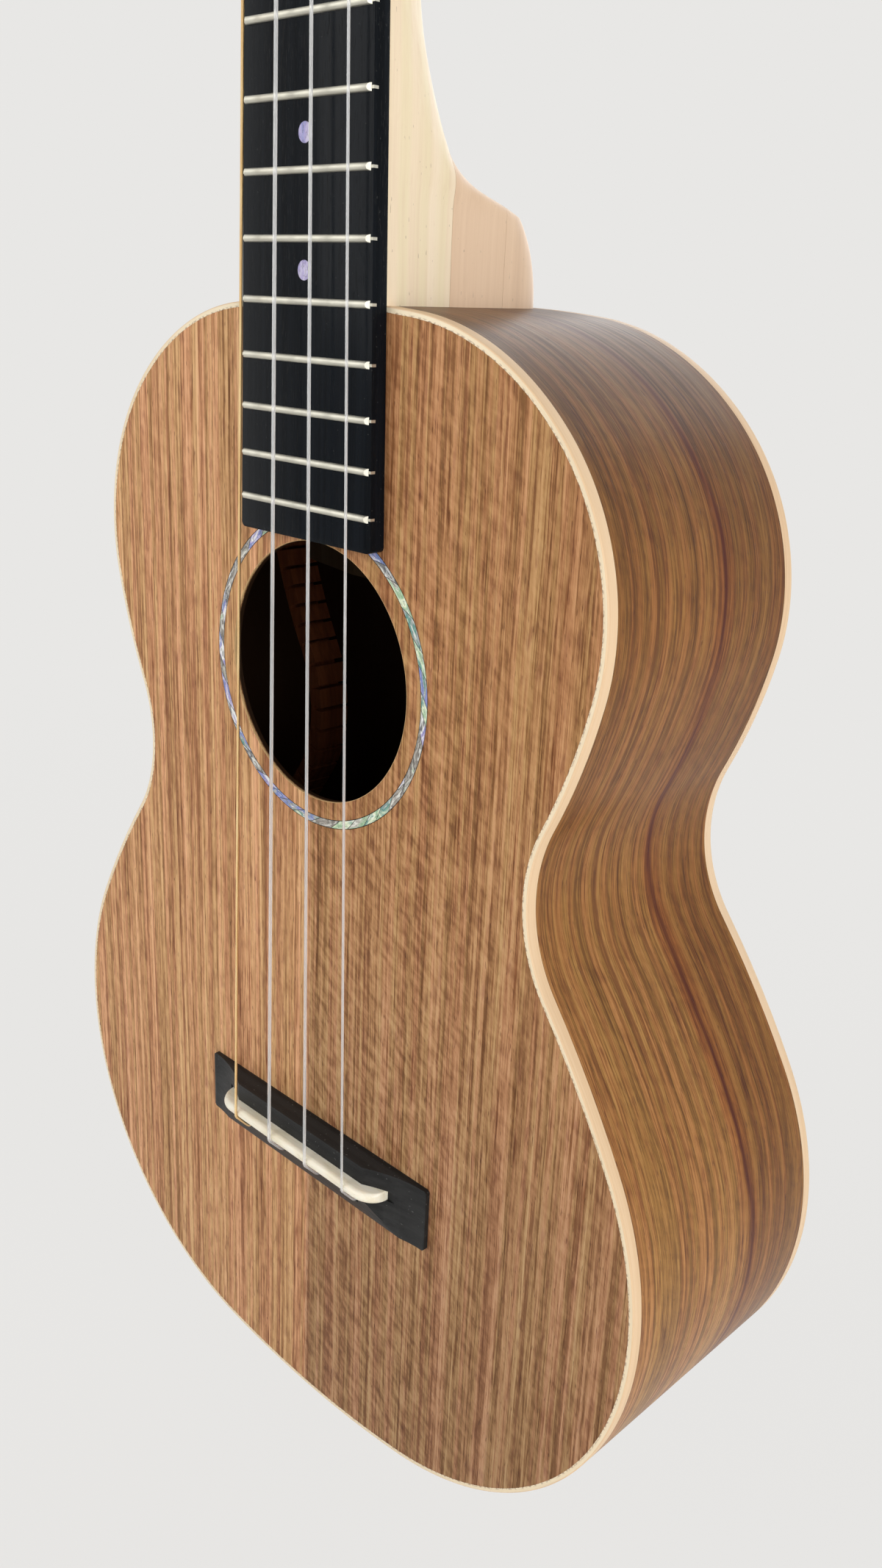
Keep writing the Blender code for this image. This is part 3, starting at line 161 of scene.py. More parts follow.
LINING_WIDTH = 0.0050
LINING_HEIGHT = 0.0110
KERF_SPACING = 0.0062
KERF_WIDTH = 0.0011
KERF_WEB = 0.0010
KERF_EDGE = 0.00001           # length of the step at each side of a kerf
BLOCK_END = 0.0303            # linings end here, beside the neck and tail blocks

# Bridge and saddle
BRIDGE_OFFSET = 0.0020
BRIDGE_LENGTH = 0.0890
BRIDGE_WIDTH = 0.0181
BRIDGE_HEIGHT = 0.0064
BRIDGE_BACK_HEIGHT = 0.0023
BRIDGE_TIP_HEIGHT = 0.0013
BRIDGE_MIDDLE = 0.0520
BRIDGE_WING_POWER = 1.9
BRIDGE_AHEAD = 0.0066
BRIDGE_EDGE = 0.0004
BRIDGE_CORNER = 0.0006
SADDLE_LENGTH = 0.0645
SADDLE_THICKNESS = 0.0030
SADDLE_TOP = 0.0098
SADDLE_SEAT = 0.0028
SADDLE_SET_BACK = 0.0002
SADDLE_SHOULDER = 0.0048
SADDLE_END_FALL = 0.0065
SADDLE_SLOT_EXTRA = 0.0018
SADDLE_SLOT_TREBLE = 0.0022   # the slot runs on at the treble end
BRIDGE_PLATE_THICKNESS = 0.0022
STRING_HOLE_BEHIND = 0.0058
STRING_HOLE_RADIUS = 0.0009
STRING_EXIT_RISE = 0.0007
STRING_EXIT = ((0.0, 0.0012), (0.0001, 0.0002), (0.0006, -0.0004))  # bend at the hole's top

# Strings, fourth (bass) to first (treble)
STRING_DIAMETERS = (0.00075, 0.00090, 0.00080, 0.00065)
STRING_SPACING_SADDLE = 0.0150
STRING_SPACING_NUT = 0.0091
STRING_OFFSET_NUT = -0.0012
STRING_HEIGHT_NUT = 0.0058
KNOT_RADIUS = 0.0012
WINDING_TURNS = 2
WINDING_GAP = 0.00055
WINDING_LEAD = math.radians(16)
WIRE_PITCH = 0.00016          # from one turn of the wound string's wire to the next

# Tuners, in the head's frame
POST_X = 0.0190
POST_HEIGHTS = (0.0400, 0.0790)
POST_RADIUS = 0.0029
POST_WAIST_RADIUS = 0.0025
POST_RISE = 0.0105
POST_WAIST_START = 0.0032
POST_WAIST_END = 0.0089
POST_EDGE = 0.0004
POST_TAIL_EDGE = 0.0003
POST_HOLE_RADIUS = 0.0009
POST_SLOT = 0.0004
POST_CLEARANCE = 0.0002
STRING_ANCHOR_RISE = 0.0080
ANCHOR_END = 0.00075
GEAR_TEETH = 14
GEAR_MODULE = 0.00065
GEAR_THICKNESS = 0.0026
GEAR_TOOTH_WIDTH = 0.0007
GEAR_ROOT = 1.15
GEAR_TIP = 0.8
GEAR_HUB_RADIUS = 0.0036
POST_TAIL = 0.0008
WORM_PITCH_RADIUS = 0.0022
WORM_THREAD_RADIUS = 0.00055
WORM_THREAD_CENTRE = 0.00175
WORM_TURNS = 2.6
WORM_STEPS = 24               # points in one turn
WORM_SHAFT_RADIUS = 0.00135
WORM_SHAFT_END = 0.0010
PLATE_THICKNESS = 0.0010
PLATE_WIDTH = 0.0140
PLATE_BELOW = 0.0105
PLATE_ABOVE = 0.0060
PLATE_CORNER = 0.0020
PLATE_EDGE = 0.00025
EAR_THICKNESS = 0.0012
EAR_SPACING = 0.0100
EAR_WALL = 0.0016
BEARING_CLEARANCE = 0.0001
BUTTON_LENGTH = 0.0120
BUTTON_WIDTH = 0.0150
BUTTON_DEPTH = 0.0080
BUTTON_STAND_OFF = 0.0030
BUTTON_COLLAR = 0.0021
BUTTON_TIP = 0.0004
BUTTON_FULLNESS = 0.62
SHAFT_IN_BUTTON = 0.0020
SCREW_RADIUS = 0.0017
SCREW_X = 0.0052
SCREW_RISE = 0.0042
SCREW_SLOT = 0.0002
SCREW_LIP = 0.0003
SCREW_LENGTH = 0.0040
SCREW_POINT = 0.0050
BUSHING_RADIUS = 0.0046
BUSHING_RISE = 0.0013
BUSHING_DEPTH = 0.0030
BUSHING_WALL = 0.0008
BUSHING_LIP = 0.0002
BUSHING_ROUND = 0.0003

# Wood
HALVES_X = -0.0020            # joint of the soundboard's two halves
FIGURE_SLANT = 52             # degrees from the grain
# painted shade for the faces that look into the body
INSIDE_SHADE_TONE = (0.020, 0.009, 0.004)
HOLE_EDGE_TONE = (0.66, 0.44, 0.21)

# Gaps, and lengths by which cuts reach past a piece
HAIR = 0.00001                # a face lies this much proud of its neighbour
TOUCH = 0.00002               # between pieces that are glued
GAP = 0.0003                  # between other neighbours
PAST = 0.004
REACH = 0.05
FAR = 0.25

# Worked out from the sizes above
BOARD_END_Z = NUT_Z - SCALE * (1 - 2 ** (-FRET_COUNT / 12)) - BOARD_PAST_LAST_FRET
SADDLE_Z = NUT_Z - SCALE - SADDLE_SET_BACK
HOLE_Z = JOIN_Z - SOUNDHOLE_DROP
STRING_HOLE_Z = SADDLE_Z - STRING_HOLE_BEHIND
BRIDGE_FRONT_Z = SADDLE_Z + BRIDGE_AHEAD
BRIDGE_BACK_Z = BRIDGE_FRONT_Z - BRIDGE_WIDTH
HEAD_ORIGIN = Vector((0, 0, NUT_Z + NUT_THICKNESS))
GEAR_PITCH_RADIUS = GEAR_MODULE * GEAR_TEETH / 2
WORM_PITCH = math.pi * GEAR_MODULE
WORM_DROP = GEAR_PITCH_RADIUS + WORM_PITCH_RADIUS
PLATE_FRONT_Y = HEAD_THICKNESS + GAP
HUB_FRONT_Y = PLATE_FRONT_Y + PLATE_THICKNESS + GAP
GEAR_MIDDLE_Y = HUB_FRONT_Y + WORM_THREAD_CENTRE + WORM_THREAD_RADIUS
GEAR_FRONT_Y = GEAR_MIDDLE_Y - GEAR_THICKNESS / 2
SIDES = (("bass", -1), ("treble", 1))


# Camera, light and floor
def in_scene(name, data):
    made = bpy.data.objects.new(name, data)
    bpy.context.scene.collection.objects.link(made)
    return made


def make_camera():
    camera = in_scene("camera", bpy.data.cameras.new("camera"))
    camera.data.sensor_width = SENSOR
    camera.data.lens = LENS
    camera.data.clip_start = 0.01
    right, up = Vector(CAMERA_RIGHT).normalized(), Vector(CAMERA_UP).normalized()
    back = right.cross(up)
    camera.matrix_world = Matrix.Translation(CAMERA_PLACE) @ Matrix((right, up, back)).transposed().to_4x4()
    bpy.context.scene.camera = camera


def area_light(name, place, target, width, height, power, colour=(1, 1, 1)):
    data = bpy.data.lights.new(name, "AREA")
    data.shape = "RECTANGLE"
    data.size, data.size_y = width, height
    data.energy = power
    data.color = colour
    light = in_scene(name, data)
    towards = Vector(target) - Vector(place)
    light.matrix_world = (Matrix.Translation(place)
                          @ towards.to_track_quat("-Z", "Y").to_matrix().to_4x4())


def seen_directly(nodes):
    """1 for camera, glossy and transmission rays."""
    path = nodes.node("LightPath").outputs
    total = path["Is Camera Ray"]
    for label in ("Is Glossy Ray", "Is Transmission Ray"):
        total = nodes.sums("MAXIMUM", total, path[label])
    return total


def make_world():
    world = bpy.data.worlds.new("world")
    bpy.context.scene.world = world
    world.use_nodes = True
    nodes = Nodes(world.node_tree)
    height = nodes.split(nodes.node("TexCoord").outputs["Generated"])[2]
    strength = nodes.fit(height, *WORLD_FADE, WORLD_STRENGTH, WORLD_TOP_STRENGTH)
    lit = nodes.node("Background", Color=(1, 1, 1), Strength=strength)
    seen = nodes.node("Background", Color=BACKGROUND)
    nodes.share_out(seen_directly(nodes), lit, seen, "World Output")


def make_floor(low_z):
    """A pale round floor below the tail, which fades into the backdrop."""
    shape = bmesh.new()
    bmesh.ops.create_circle(shape, cap_ends=True, segments=64, radius=FLOOR_RADIUS)
    mesh = bpy.data.meshes.new("floor")
    shape.to_mesh(mesh)
    shape.free()
    floor = in_scene("floor", mesh)
    floor.location = (0, 0, low_z - FLOOR_DROP)
    s = Surface("floor", Base_Color=BACKGROUND, Roughness=0.9)
    reach = s.length(s.place())
    glow = s.node("Emission", Color=BACKGROUND, Strength=s.fit(reach, *FLOOR_FADE, FLOOR_LIFT, 1.0))
    share = s.times(seen_directly(s), s.fit(reach, *FLOOR_FADE, FLOOR_GLOW, 1.0))
    s.share_out(share, s.shader, glow, "Material Output")
    mesh.materials.append(s.material)


# Materials
class Nodes:
    """A node tree and short calls that add nodes to it."""

    def __init__(self, tree):
        self.tree = tree

    def feed(self, socket, value):
        if isinstance(value, bpy.types.NodeSocket):
            self.tree.links.new(value, socket)
        elif isinstance(value, tuple) and len(value) == 3 and socket.type == "RGBA":
            socket.default_value = (*value, 1)
        else:
            socket.default_value = value

    def node(self, kind, settings=None, **inputs):
        made = self.tree.nodes.new("ShaderNode" + kind)
        for key, value in (settings or {}).items():
            setattr(made, key, value)
        for key, value in inputs.items():
            self.feed(made.inputs[key.replace("_", " ")], value)
        return made

    def share_out(self, share, first, second, output):
        """Mix two shaders into an output node."""
        blend = self.node("MixShader", Fac=share)
        self.feed(blend.inputs[1], first.outputs[0])
        self.feed(blend.inputs[2], second.outputs[0])
        self.feed(self.tree.nodes[output].inputs["Surface"], blend.outputs[0])

    def place(self, attribute=None):
        if attribute:
            return self.node("Attribute", {"attribute_name": attribute}).outputs["Vector"]
        return self.node("TexCoord").outputs["Object"]

    def stretch(self, vector, scale, shift=(0, 0, 0), turn=(0, 0, 0)):
        return self.node("Mapping", Vector=vector, Scale=scale, Location=shift, Rotation=turn).outputs[0]

    def noise(self, vector, scale=None, shift=(0, 0, 0), detail=3.0, rough=0.55, distortion=0.0):
        """Noise over coordinates, stretched first where a scale is given."""
        if scale:
            vector = self.stretch(vector, scale, shift)
        return self.node("TexNoise", Vector=vector, Scale=1.0, Detail=detail, Roughness=rough,
                         Distortion=distortion).outputs["Fac"]

    def sums(self, operation, *values):
        made = self.node("Math", {"operation": operation})
        for socket, value in zip(made.inputs, values):
            self.feed(socket, value)
        return made.outputs[0]

    def times(self, value, *factors):
        for factor in factors:
            value = self.sums("MULTIPLY", value, factor)
        return value

    def plus(self, *values):
        return self.sums("ADD", *values)

    def less(self, *values):
        return self.sums("SUBTRACT", *values)

    def times_plus(self, *values):
        return self.sums("MULTIPLY_ADD", *values)

    def fit(self, value, low, high, out_low=0.0, out_high=1.0):
        made = self.node("MapRange", {"clamp": True}, Value=value, From_Min=low, From_Max=high,
                         To_Min=out_low, To_Max=out_high)
        return made.outputs[0]

    def ramp(self, value, stops):
        made = self.node("ValToRGB", Fac=value)
        elements = made.color_ramp.elements
        while len(elements) < len(stops):
            elements.new(0.5)
        for element, (place, colour) in zip(elements, stops):
            element.position = place
            element.color = (*colour, 1)
        return made.outputs["Color"]

    def mix(self, share, a, b, blend="MIX"):
        made = self.node("Mix", {"data_type": "RGBA", "blend_type": blend})
        for index, value in ((0, share), (6, a), (7, b)):
            self.feed(made.inputs[index], value)
        return made.outputs[2]

    def tint(self, colour, factor, share=1.0):
        """The colour times a factor, as far as the share goes."""
        return self.mix(share, colour, factor, "MULTIPLY")

    def length(self, vector):
        return self.node("VectorMath", {"operation": "LENGTH"}, Vector=vector).outputs["Value"]

    def split(self, vector):
        return self.node("SeparateXYZ", Vector=vector).outputs

    def join(self, x, y, z):
        return self.node("CombineXYZ", X=x, Y=y, Z=z).outputs[0]

    def absolute(self, value):
        return self.sums("ABSOLUTE", value)

    def bump(self, height, distance, strength=1.0):
        return self.node("Bump", Height=height, Distance=distance, Strength=strength).outputs[0]


class Surface(Nodes):
    """One material: a Principled shader and the nodes before it."""

    def __init__(self, name, **sockets):
        self.material = bpy.data.materials.new(name)
        self.material.use_nodes = True
        super().__init__(self.material.node_tree)
        self.shader = self.tree.nodes["Principled BSDF"]
        self.set(**sockets)

    def set(self, **sockets):
        for label, value in sockets.items():
            self.feed(self.shader.inputs[label.replace("_", " ")], value)

    def finish(self, colour, roughness, normal=None):
        self.set(Base_Color=colour, Roughness=roughness)
        if normal:
            self.set(Normal=normal)
        return self.material


def grain_place(surface, attribute, wander=0.0016):
    """Coordinates (across, depth, along) whose lines wander a little along the grain."""
    base = surface.place(attribute)
    across, depth, along = surface.split(base)
    drift = surface.noise(base, (14, 14, 5), detail=2)
    centred = surface.less(drift, 0.5)
    moved = surface.times_plus(centred, wander * 2, across)
    return base, surface.join(moved, depth, along), moved, along


def wood_stripes(s, lines, bands, fine, tones, figure, calm, mottle):
    """Tones along the grain, slanted figure over them, and a slow change from olive to rose."""
    wide = s.noise(lines, (330, 330, 4), detail=2, rough=0.5)
    blots = s.noise(lines, (380, 380, 150), rough=0.6)
    value = s.times_plus(blots, 0.22 * mottle, s.times(fine, 0.38 - 0.22 * mottle))
    value = s.times_plus(wide, 0.24, s.times_plus(bands, 0.38, value))
    turned = s.stretch(lines, (1, 1, 1), turn=(0, math.radians(FIGURE_SLANT), 0))
    waves = s.noise(turned, (430, 430, 150), rough=0.6)
    value = s.times_plus(s.times(s.less(waves, 0.5), 0.32), figure, value)
    dark, middle, light, pale = tones
    reach = 0.066 * calm
    colour = s.ramp(value, ((0.50 - reach, dark), (0.485, middle), (0.52, light), (0.515 + reach, pale)))
    hue = s.noise(lines, (420, 420, 3), (0.3, 0, 0.1), detail=1)
    return s.tint(colour, s.mix(s.fit(hue, 0.42, 0.58), (0.96, 1.0, 0.88), (1.03, 0.955, 0.94)))


def treble_figure(s, across, along, right):
    """How much figure the soundboard shows: the treble half more, and most below the hole."""
    figured = s.times(right, s.fit(across, 0.040, 0.074, 1.0, 0.3),
                      s.fit(along, HOLE_Z + 0.08, HOLE_Z - 0.02, 0.45, 1.0))
    return s.times_plus(figured, 0.85, 0.15)


def halves_tone_and_tail_shade(s, colour, across, along, right):
    """The bass half light, the treble half darker, and golden from the hole up; both halves darker toward
    the tail, partly the wood's tone and partly painted shade where the light falls off.
    """
    # darker toward the tail: partly the wood's tone, partly painted shade where the light falls off
    tone = s.times(s.fit(across, 0.012, 0.070, 0.87, 0.86),
                   s.fit(along, HOLE_Z + 0.07, SADDLE_Z - 0.05, 0.98, 1.0),
                   s.fit(along, SADDLE_Z + 0.06, SADDLE_Z - 0.08, 1.0, 0.80))
    plain = s.fit(along, SADDLE_Z + 0.03, SADDLE_Z - 0.085, 1.18, 1.06)
    colour = s.tint(colour, s.times_plus(right, s.less(tone, plain), plain))
    return s.tint(colour, (1.03, 0.97, 0.84), s.times(right, s.fit(along, HOLE_Z - 0.12, HOLE_Z)))


def inside_painted_shade(s, colour, base, along, inside):
    """Painted shade: near black on the faces that look into the body, and on the soundhole's cut edge below
    its pale rim.
    """
    depth = s.split(base)[1]
    if inside == "back":
        outside = DEPTH_AT_NECK + DEPTH_TAPER * JOIN_Z
        depth = s.times_plus(along, DEPTH_TAPER, depth)
        within = s.fit(depth, outside - BACK_THICKNESS * 0.5, outside - BACK_THICKNESS * 0.8)
    elif inside == "side":
        within = s.fit(depth, SIDE_THICKNESS * 0.5, SIDE_THICKNESS * 0.9)
    else:
        pale_edge, within = hole_edge(s, base)
        colour = s.mix(pale_edge, colour, HOLE_EDGE_TONE)
    return s.mix(within, colour, INSIDE_SHADE_TONE)


def tonewood(name, tones, attribute=None, figure=0.0, halves=False, streak=None, gloss=0.5, shine=0.15,
             shift=0.0, inside=None, calm=1.0, mottle=1.0):
    """Brown hardwood: stripes of two hues, long thin dark lines, blotches and short dark pores."""
    s = Surface(name, Specular_IOR_Level=shine)
    base, lines, across, along = grain_place(s, attribute)
    if shift:
        lines = s.stretch(lines, (1, 1, 1), (shift, 0, shift))
    right = s.fit(across, HALVES_X - 0.0003, HALVES_X + 0.0003) if halves else None
    if halves:
        figure = treble_figure(s, across, along, right)
    bands = s.noise(lines, (950, 950, 7), rough=0.6)
    fine = s.noise(lines, (3400, 3400, 100), detail=2, rough=0.6)
    colour = wood_stripes(s, lines, bands, fine, tones, figure, calm, mottle)
    blotch = s.fit(s.noise(lines, (520, 520, 130), (0.7, 0, 0), detail=2), 0.56, 0.68)
    colour = s.tint(colour, (0.72, 0.63, 0.66), s.times(blotch, 0.8))
    if halves:
        colour = halves_tone_and_tail_shade(s, colour, across, along, right)
    thread = s.noise(lines, (520, 520, 7), (0.1, 0, 0.4), detail=2)
    thread = s.fit(s.absolute(s.less(thread, 0.5)), 0.006, 0.026, 1.0, 0.0)
    gaps = s.fit(s.noise(lines, (900, 900, 60), detail=1), 0.40, 0.56, 0.15, 0.95)
    colour = s.tint(colour, (0.52, 0.39, 0.30), s.times(thread, gaps, calm))
    # the red streak, and painted shade on the side's upper shoulder
    if streak is not None:
        colour = streak_and_shoulder_shade(s, colour, base, streak)
    pore = s.fit(s.noise(lines, (2300, 2300, 290), (0, 0, 0.2), detail=1), 0.66, 0.72)
    colour = s.tint(colour, (0.36, 0.28, 0.24), s.times(pore, 0.8 * calm))
    # painted shade on the faces that look into the body
    if inside:
        colour = inside_painted_shade(s, colour, base, along, inside)
    normal = s.bump(s.times_plus(fine, 0.35, s.less(1.0, pore)), 0.00006, 0.45)
    return s.finish(colour, s.fit(bands, 0.3, 0.7, gloss + 0.05, gloss - 0.05), normal)


def hole_edge(s, base):
    """Shares of the pale rim of the soundhole's cut edge, and of the painted shade on the edge below it and
    on the underside.
    """
    x, y, z = s.split(base)
    reach = s.length(s.join(x, 0.0, s.less(z, HOLE_Z)))
    wall = s.fit(reach, SOUNDHOLE_RADIUS + 0.00012, SOUNDHOLE_RADIUS + 0.00005)
    pale = s.times(wall, s.fit(y, SOUNDBOARD_THICKNESS * 0.26, SOUNDBOARD_THICKNESS * 0.20))
    # painted shade on the lower part of the cut edge and on the underside
    dark = s.times(wall, s.fit(y, SOUNDBOARD_THICKNESS * 0.22, SOUNDBOARD_THICKNESS * 0.45))
    below = s.fit(y, SOUNDBOARD_THICKNESS * 0.9, SOUNDBOARD_THICKNESS)
    return pale, s.sums("MAXIMUM", dark, below)


def streak_and_shoulder_shade(s, colour, base, streak):
    """A dark red line that keeps its depth along the side, olive behind it and tan before it; the side
    lighter toward the tail and darker at the upper shoulder, where the darkening is painted shade.
    """
    depth, _, along = s.split(base)
    wave = s.noise(s.join(0.0, 0.0, s.times(along, 14.0)), detail=2)
    line = s.less(s.less(depth, streak), s.times(s.less(wave, 0.5), 0.010))
    line = s.less(line, s.times(s.less(0.32, along), 0.045))
    # lighter toward the tail; painted shade darkens the upper shoulder
    tone = s.times(s.fit(along, 0.10, 0.30, 1.20, 1.0), s.fit(along, 0.330, 0.385, 1.0, 0.62))
    colour = s.tint(colour, tone)
    before = s.times(s.fit(line, 0.0, -0.008), s.fit(along, 0.29, 0.24))
    colour = s.tint(colour, (1.18, 1.31, 1.48), before)
    colour = s.tint(colour, (0.85, 0.83, 0.76), s.fit(line, -0.003, 0.006))
    away = s.absolute(line)
    colour = s.tint(colour, (0.86, 0.50, 0.34), s.fit(away, 0.0006, 0.0040, 0.55, 0.0))
    core = s.fit(away, 0.0003, 0.0014, 0.95, 0.0)
    broken = s.fit(s.noise(base, (900, 900, 24)), 0.36, 0.56, 0.45, 1.0)
    return s.mix(s.times(core, broken), colour, (0.074, 0.010, 0.003))


def paleswood(name, tones, attribute=None, scale=1.0, speck=0.0, gloss=0.42, lamination=0.0):
    """Close-grained pale timber with faint lines, for the neck, binding and inside pieces."""
    s = Surface(name, Specular_IOR_Level=0.25)
    base, lines, _, _ = grain_place(s, attribute, 0.001)
    depth = s.split(base)[1]
    broad = s.noise(lines, (120 * scale, 70 * scale, 2.0), detail=2)
    bands = s.noise(lines, (700 * scale, 420 * scale, 7), rough=0.6)
    fine = s.noise(lines, (2600 * scale, 1600 * scale, 50), detail=2)
    value = s.times_plus(broad, 0.5, s.times_plus(bands, 0.34, s.times(fine, 0.16)))
    dark, middle, light = tones
    colour = s.ramp(value, ((0.36, dark), (0.50, middle), (0.64, light)))
    if lamination:
        step = s.noise(s.join(s.times(depth, 300.0), 0.0, 0.0), detail=0)
        colour = s.tint(colour, (0.95, 0.99, 0.90), s.fit(step, 0.42, 0.58, 0.0, lamination))
    flecks = s.noise(lines, (900, 900, 260), detail=1)
    colour = s.mix(s.fit(flecks, 0.66, 0.74, 0.0, 0.22), colour, dark)
    if scale > 1:
        pits = s.noise(base, (1500, 1500, 420), detail=1)
        colour = s.mix(s.fit(pits, 0.735, 0.76, 0.0, 0.55), colour, (0.42, 0.30, 0.20))
    if speck:
        spots = s.fit(s.noise(base, (1700, 1700, 900), detail=1), 0.50, 0.57)
        edge = s.fit(depth, 0.0008, 0.0013)
        colour = s.mix(s.times(spots, edge, speck), colour, (0.20, 0.10, 0.05))
        colour = s.tint(colour, (0.91, 0.77, 0.67), s.fit(depth, BINDING_ROUND, BINDING_ROUND * 0.6))
    normal = s.bump(s.plus(fine, bands), 0.00004, 0.35)
    return s.finish(colour, s.fit(bands, 0.3, 0.7, gloss + 0.06, gloss - 0.04), normal)


def ebony(name, base_tone, gloss, shine, dust=0.35, across=False):
    """Near black timber with faint brown lines and fine open pores."""
    s = Surface(name, Specular_IOR_Level=shine)
    base, lines, _, _ = grain_place(s, None, 0.0008)
    if across:
        lines = s.stretch(lines, (1, 1, 1), turn=(0, math.radians(90), 0))
    bands = s.noise(lines, (500, 500, 5))
    fine = s.noise(lines, (3000, 3000, 45), detail=2)
    dark = tuple(value * 0.62 for value in base_tone)
    colour = s.ramp(bands, ((0.38, dark), (0.62, base_tone)))
    pores = s.fit(s.noise(lines, (4200, 4200, 260), detail=1), 0.62, 0.70)
    colour = s.mix(s.times(pores, 0.5), colour, (0.004, 0.004, 0.004))
    specks = s.fit(s.noise(base, (1500, 1500, 1500), detail=0), 0.80, 0.84, 0.0, dust)
    colour = s.mix(specks, colour, (0.20, 0.20, 0.19))
    normal = s.bump(s.less(s.times(fine, 0.5), pores), 0.00004, 0.5)
    return s.finish(colour, s.fit(fine, 0.3, 0.7, gloss - 0.04, gloss + 0.06), normal)


SHELL_TONES = (
    (0.00, (0.16, 0.14, 0.12)), (0.09, (0.60, 0.59, 0.52)), (0.18, (0.30, 0.52, 0.30)),
    (0.27, (0.84, 0.90, 0.66)), (0.36, (0.06, 0.28, 0.24)), (0.45, (0.44, 0.44, 0.42)),
    (0.54, (0.14, 0.22, 0.54)), (0.63, (0.44, 0.38, 0.66)), (0.72, (0.88, 0.88, 0.86)),
    (0.81, (0.07, 0.07, 0.08)), (0.90, (0.46, 0.43, 0.38)), (1.00, (0.16, 0.14, 0.12)),
)


def strip_tones(s, base):
    """Each strip's own place in the tones, and the dark joints and rim of the strips."""
    x, _, z = s.split(base)
    settings = {"voronoi_dimensions": "1D"}
    order = s.sums("DIVIDE", s.times_plus(x, 1.9, z), SHELL_STRIP)
    cell = s.node("TexVoronoi", settings, W=order, Scale=1.0, Randomness=1.0)
    settings["feature"] = "DISTANCE_TO_EDGE"
    edge = s.node("TexVoronoi", settings, W=order, Scale=1.0, Randomness=1.0)
    joint = s.fit(edge.outputs["Distance"], 0.015, 0.050, 0.9, 0.0)
    rim = s.fit(s.absolute(x), ROSETTE_WIDTH * 0.46, ROSETTE_WIDTH * 0.50, 0.0, 0.7)
    return s.times(s.split(cell.outputs["Color"])[0], 2.0), s.sums("MAXIMUM", joint, rim)


def shell(name, attribute=None, tone=0.0):
    """Paua: strips with slanted joints, each its own colour, with glints and dark lines along it."""
    s = Surface(name, Coat_Weight=0.3, Coat_Roughness=0.10)
    base = s.place(attribute)
    swirl = s.noise(base, (420, 420, 150), detail=2, distortion=0.8)
    warp = s.noise(base, (1100, 1100, 260), detail=2, distortion=1.2)
    own, joint = strip_tones(s, base) if attribute else (tone, 0.0)
    value = s.times_plus(s.less(swirl, 0.5), 0.8 if attribute else 0.3, own)
    colour = s.ramp(s.sums("FRACT", s.plus(value, 1.0)), SHELL_TONES)
    veins = s.fit(s.absolute(s.less(warp, 0.46)), 0.004, 0.026, 0.55, 0.0)
    colour = s.mix(veins, colour, (0.06, 0.055, 0.05))
    glint = s.fit(warp, 0.57, 0.63, 0.0, 0.65 if attribute else 0.1)
    colour = s.mix(glint, colour, (0.90, 0.90, 0.84))
    colour = s.mix(joint, colour, (0.02, 0.018, 0.015))
    return s.finish(colour, s.fit(swirl, 0.3, 0.7, 0.20, 0.34), s.bump(warp, 0.0001, 0.2))


def bone(name):
    s = Surface(name, Subsurface_Weight=0.12, Subsurface_Radius=(1.0, 0.75, 0.5), Subsurface_Scale=0.0012,
                Coat_Weight=0.35, Coat_Roughness=0.18)
    cloud = s.noise(s.place(), (90, 300, 300), detail=4)
    streaks = s.noise(s.place(), (240, 2400, 2400), detail=2)
    colour = s.ramp(s.times_plus(streaks, 0.3, s.times(cloud, 0.7)),
                    ((0.34, (0.84, 0.76, 0.56)), (0.50, (0.94, 0.87, 0.70)), (0.66, (0.97, 0.93, 0.80))))
    return s.finish(colour, s.fit(streaks, 0.3, 0.7, 0.26, 0.38), s.bump(streaks, 0.00003, 0.3))


def metal(name, tone, roughness, brushed=(900, 900, 900)):
    """Plated metal with fine scratches and slight tarnish."""
    s = Surface(name, Metallic=1.0)
    scratch = s.noise(s.place(), brushed, rough=0.65)
    cloud = s.noise(s.place(), (160, 160, 160), detail=2)
    dull = tuple(value * 0.80 for value in tone)
    colour = s.mix(s.fit(cloud, 0.30, 0.70), dull, tone)
    rough = s.fit(scratch, 0.3, 0.7, roughness - 0.05, roughness + 0.08)
    return s.finish(colour, rough, s.bump(scratch, 0.00002, 0.3))


def wound_string(name):
    """Fine round wire wound side by side, with painted shade in the grooves between the turns."""
    s = Surface(name, Metallic=1.0)
    along = s.split(s.place("grain"))[2]
    wave = s.sums("SINE", s.times(along, 2 * math.pi / WIRE_PITCH))
    cloud = s.noise(s.place(), (200, 200, 60), detail=2)
    colour = s.mix(s.fit(cloud, 0.4, 0.6), (0.86, 0.58, 0.27), (0.96, 0.72, 0.38))
    # painted shade in the grooves between the turns
    colour = s.mix(s.fit(wave, -1.0, -0.5, 0.6, 0.0), colour, (0.30, 0.16, 0.05))
    return s.finish(colour, s.fit(wave, -1, 1, 0.42, 0.30), s.bump(wave, 0.00003, 0.8))


def clear_string(name):
    """Clear line that takes up a little of the light around it."""
    s = Surface(name, Transmission_Weight=0.66, IOR=1.48)
    cloud = s.noise(s.place("grain"), (900, 900, 40), detail=2)
    colour = s.ramp(cloud, ((0.35, (0.93, 0.93, 0.93)), (0.65, (0.98, 0.98, 0.98))))
    return s.finish(colour, s.fit(cloud, 0.3, 0.7, 0.03, 0.08))


def pearl(name):
    s = Surface(name, Coat_Weight=0.7, Coat_Roughness=0.06)
    swirl = s.noise(s.place(), (150, 150, 150), distortion=2.5)
    colour = s.ramp(swirl, ((0.35, (0.70, 0.70, 0.66)), (0.50, (0.86, 0.86, 0.82)),
                            (0.58, (0.78, 0.80, 0.84)), (0.70, (0.92, 0.90, 0.84))))
    return s.finish(colour, s.fit(swirl, 0.3, 0.7, 0.16, 0.30), s.bump(swirl, 0.0001, 0.15))


